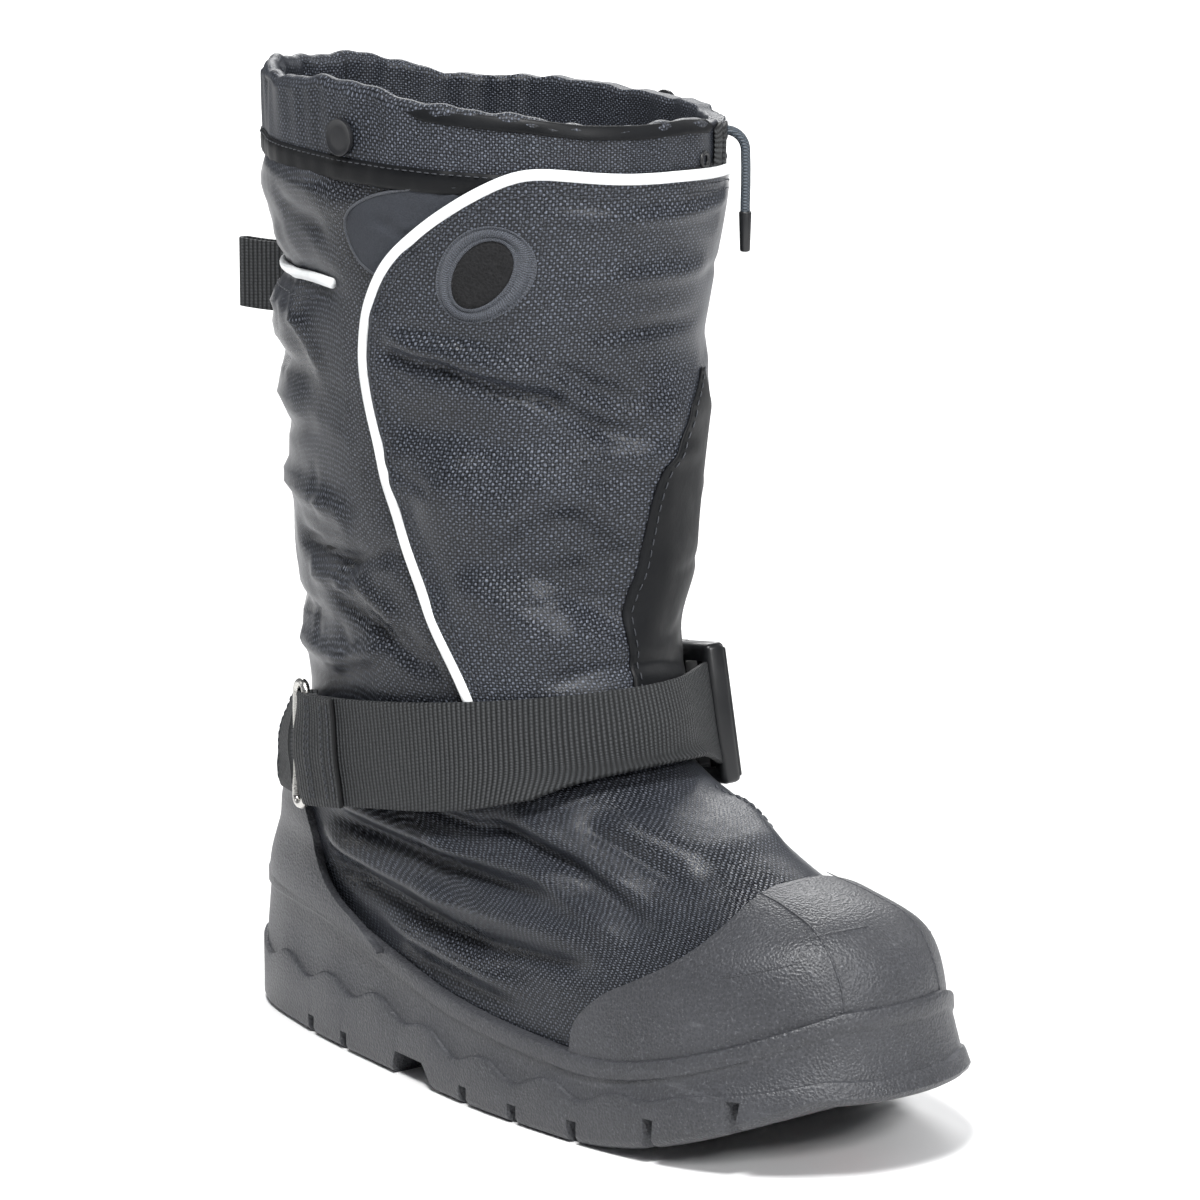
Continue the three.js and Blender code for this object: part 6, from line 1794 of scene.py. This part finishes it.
class OVERSHOE_OT_buckle(OvershoePiece, bpy.types.Operator):
    """Builds the fastened side-release buckle"""

    bl_idname = "overshoe.buckle"
    bl_label = "Buckle"

    def build(self, context, last):
        s = last.s
        place = buckle_seat(last)
        matrix = frame_at(place["middle"], place["back"], place["outward"])
        length, width, thick = s.buckle_length, s.buckle_width, s.buckle_thickness
        prong = 0.3 * length
        socket = length - prong - s.gap
        name = "buckle_plastic"
        middle = -(length - prong) / 2
        frame_half = block("ladder_frame", name, (prong, width, 0.72 * thick), (middle, 0, 0), 2.2 * MM)
        window = block("tool", name, (12 * MM, width - 12 * MM, thick), (middle - 1.5 * MM, 0, 0), 1 * MM)
        cut(frame_half, window)
        bars = [
            block("bar", name, (2.6 * MM, width - 8 * MM, 3.4 * MM), (middle - 1.5 * MM, 0, -0.8 * MM), 1.1 * MM),
            block("lip", name, (3 * MM, width - 4 * MM, 2 * MM), (-length / 2 + 2 * MM, 0, 3.4 * MM), 0.8 * MM),
        ]
        for side in (-1, 1):
            arm = (prong / 2 + middle + 13 * MM, side * (width / 2 - 9 * MM), 0)
            bars.append(block("prong", name, (26 * MM, 5 * MM, 5.4 * MM), arm, 1.6 * MM))
            for k in range(4):
                rib = (arm[0] + (k - 1) * 3 * MM, side * (width / 2 - 6.4 * MM), 0)
                bars.append(block("rib", name, (1.2 * MM, 1.4 * MM, 5 * MM), rib, 0.4 * MM, 2))
        piece = joined("buckle_front_half", frame_half, *bars)
        settle(seat(piece, matrix), "buckle_plastic", "buckle_prong_half")
        middle = (length - socket) / 2
        body = block("socket_body", name, (socket, width, thick), (middle, 0, 0), 3.0 * MM, 4)
        tools = []
        for side in (-1, 1):
            tools.append(primitive(
                "cylinder", "tool", name, vertices=64, radius=13 * MM, depth=3 * thick,
                location=(middle - 3 * MM, side * (width / 2 + 7 * MM), 0),
            ))
        for size, centre, edge in (
            ((5 * MM, width - 11 * MM, 3 * thick), (length / 2 - 5.5 * MM, 0, 0), 1 * MM),
            ((22 * MM, 15 * MM, 4 * MM), (middle - 2 * MM, 0, thick / 2 + 1 * MM), 1.6 * MM),
            ((6 * MM, width - 16 * MM, 7 * MM), (middle - socket / 2, 0, 0), 1 * MM),
        ):
            tools.append(block("tool", name, size, centre, edge))
        cut(body, *tools)
        bevel(body, 0.5, 2, math.radians(40))
        ribs = [
            block("rib", name, (1.6 * MM, 20 * MM, 1.4 * MM), (middle + (12 + 3.4 * k) * MM, 0, thick / 2), 0.5 * MM, 2)
            for k in range(3)
        ]
        piece = joined("buckle_rear_half", body, *ribs)
        settle(seat(piece, matrix), "buckle_plastic", "buckle_socket_half")


class OVERSHOE_OT_fasteners(OvershoePiece, bpy.types.Operator):
    """Builds the snap caps and the pull loop"""

    bl_idname = "overshoe.fasteners"
    bl_label = "Snaps and Pull Loop"

    def build(self, context, last):
        self.snaps(last)
        self.pull(last)

    def snaps(self, last):
        s = last.s
        for name, side in (("outer", -1), ("inner", 1)):
            turn, place = last.find(side, *last.on_shaft(0.54, 0.962))
            centre = last.lifted(turn, place, 2 * s.gap + 1.5 * MM + 0.7 * MM)
            cap = primitive(
                "cylinder", f"snap_{name}", "snap_enamel", vertices=64, radius=s.snap_radius, depth=1.8 * MM,
                location=(0, 0, 0.9 * MM),
            )
            bpy.ops.object.mode_set(mode="EDIT")
            bpy.ops.mesh.select_all(action="DESELECT")
            bpy.ops.object.mode_set(mode="OBJECT")
            for face in cap.data.polygons:
                face.select = face.normal.z > 0.9
            bpy.ops.object.mode_set(mode="EDIT")
            bpy.ops.mesh.inset(thickness=1.1 * MM)
            bpy.ops.transform.translate(value=(0, 0, -0.45 * MM))
            bpy.ops.mesh.inset(thickness=1.5 * MM)
            bpy.ops.transform.translate(value=(0, 0, 0.12 * MM))
            bpy.ops.object.mode_set(mode="OBJECT")
            bevel(cap, 0.35, 3, math.radians(30))
            seat(cap, frame_at(centre, (0, 0, 1), last.normal(turn, place)))
            settle(cap, "buckle_plastic", f"snap_cap_{name}")

    def pull(self, last):
        """Webbing loop sewn to the back seam."""
        height = last.on_shaft(0, PULL_RISE)[1]
        base = last.lifted(math.pi, last.level(math.pi, height), 3.0 * MM)
        length, radius = 40 * MM, 2.3 * MM
        route = [(2 * MM, 1.6 * MM), (-8 * MM, 1.4 * MM), (-20 * MM, 2.4 * MM), (-length + radius, radius)]
        turns = np.linspace(math.pi / 2, 1.5 * math.pi, 9)[1:-1]
        route += [(-length + radius + radius * math.cos(a), radius * math.sin(a)) for a in turns]
        route += [(-length + radius, -radius), (-20 * MM, -2.4 * MM), (-8 * MM, -1.4 * MM), (2 * MM, -1.6 * MM)]
        fine = curve(route, 90)
        across = np.linspace(-12.5 * MM, 12.5 * MM, 11)
        cos, sin = math.cos(0.35), math.sin(0.35)
        sag = 1.5 * MM * np.sin(np.clip(-fine[:, 0] / length, 0, 1) * 2.6)
        x = base[0] + fine[:, 0] * cos - fine[:, 1] * sin
        y = base[1] + fine[:, 0] * sin + fine[:, 1] * cos
        points = np.stack(
            [
                np.broadcast_to(x[:, None], (90, 11)),
                np.broadcast_to(y[:, None], (90, 11)),
                base[2] + across[None, :] - sag[:, None] + 0 * x[:, None],
            ],
            -1,
        )
        loop = OVERSHOE_OT_strap.band("pull_on_loop", points, grid_normals(points), across, 1.3 * MM)
        settle(loop, "webbing", "pull_loop")


OPERATORS = (
    OVERSHOE_OT_stage,
    OVERSHOE_OT_drawcord,
    OVERSHOE_OT_sole,
    OVERSHOE_OT_guards,
    OVERSHOE_OT_shaft,
    OVERSHOE_OT_collar,
    OVERSHOE_OT_flap,
    OVERSHOE_OT_strap,
    OVERSHOE_OT_buckle,
    OVERSHOE_OT_fasteners,
)


class OVERSHOE_PT_panel(bpy.types.Panel):
    """Lists the steps that build the overshoe"""

    bl_idname = "OVERSHOE_PT_panel"
    bl_label = "Winter Overshoe"
    bl_space_type = "VIEW_3D"
    bl_region_type = "UI"
    bl_category = "Overshoe"

    def draw(self, context):
        for operator in OPERATORS:
            self.layout.operator(operator.bl_idname)
        for group in (context.scene.overshoe_sizes, context.scene.overshoe_colours):
            box = self.layout.box()
            for key in group.bl_rna.properties.keys():
                if key not in ("rna_type", "name"):
                    box.prop(group, key)


CLASSES = (OvershoeSizes, OvershoeColours, *OPERATORS, OVERSHOE_PT_panel)


def register():
    for cls in CLASSES:
        bpy.utils.register_class(cls)
    bpy.types.Scene.overshoe_sizes = bpy.props.PointerProperty(type=OvershoeSizes)
    bpy.types.Scene.overshoe_colours = bpy.props.PointerProperty(type=OvershoeColours)


def unregister():
    del bpy.types.Scene.overshoe_colours
    del bpy.types.Scene.overshoe_sizes
    for cls in reversed(CLASSES):
        bpy.utils.unregister_class(cls)


def main():
    register()
    for operator in OPERATORS:
        group, step = operator.bl_idname.split(".")
        getattr(getattr(bpy.ops, group), step)()


if __name__ == "__main__":
    main()
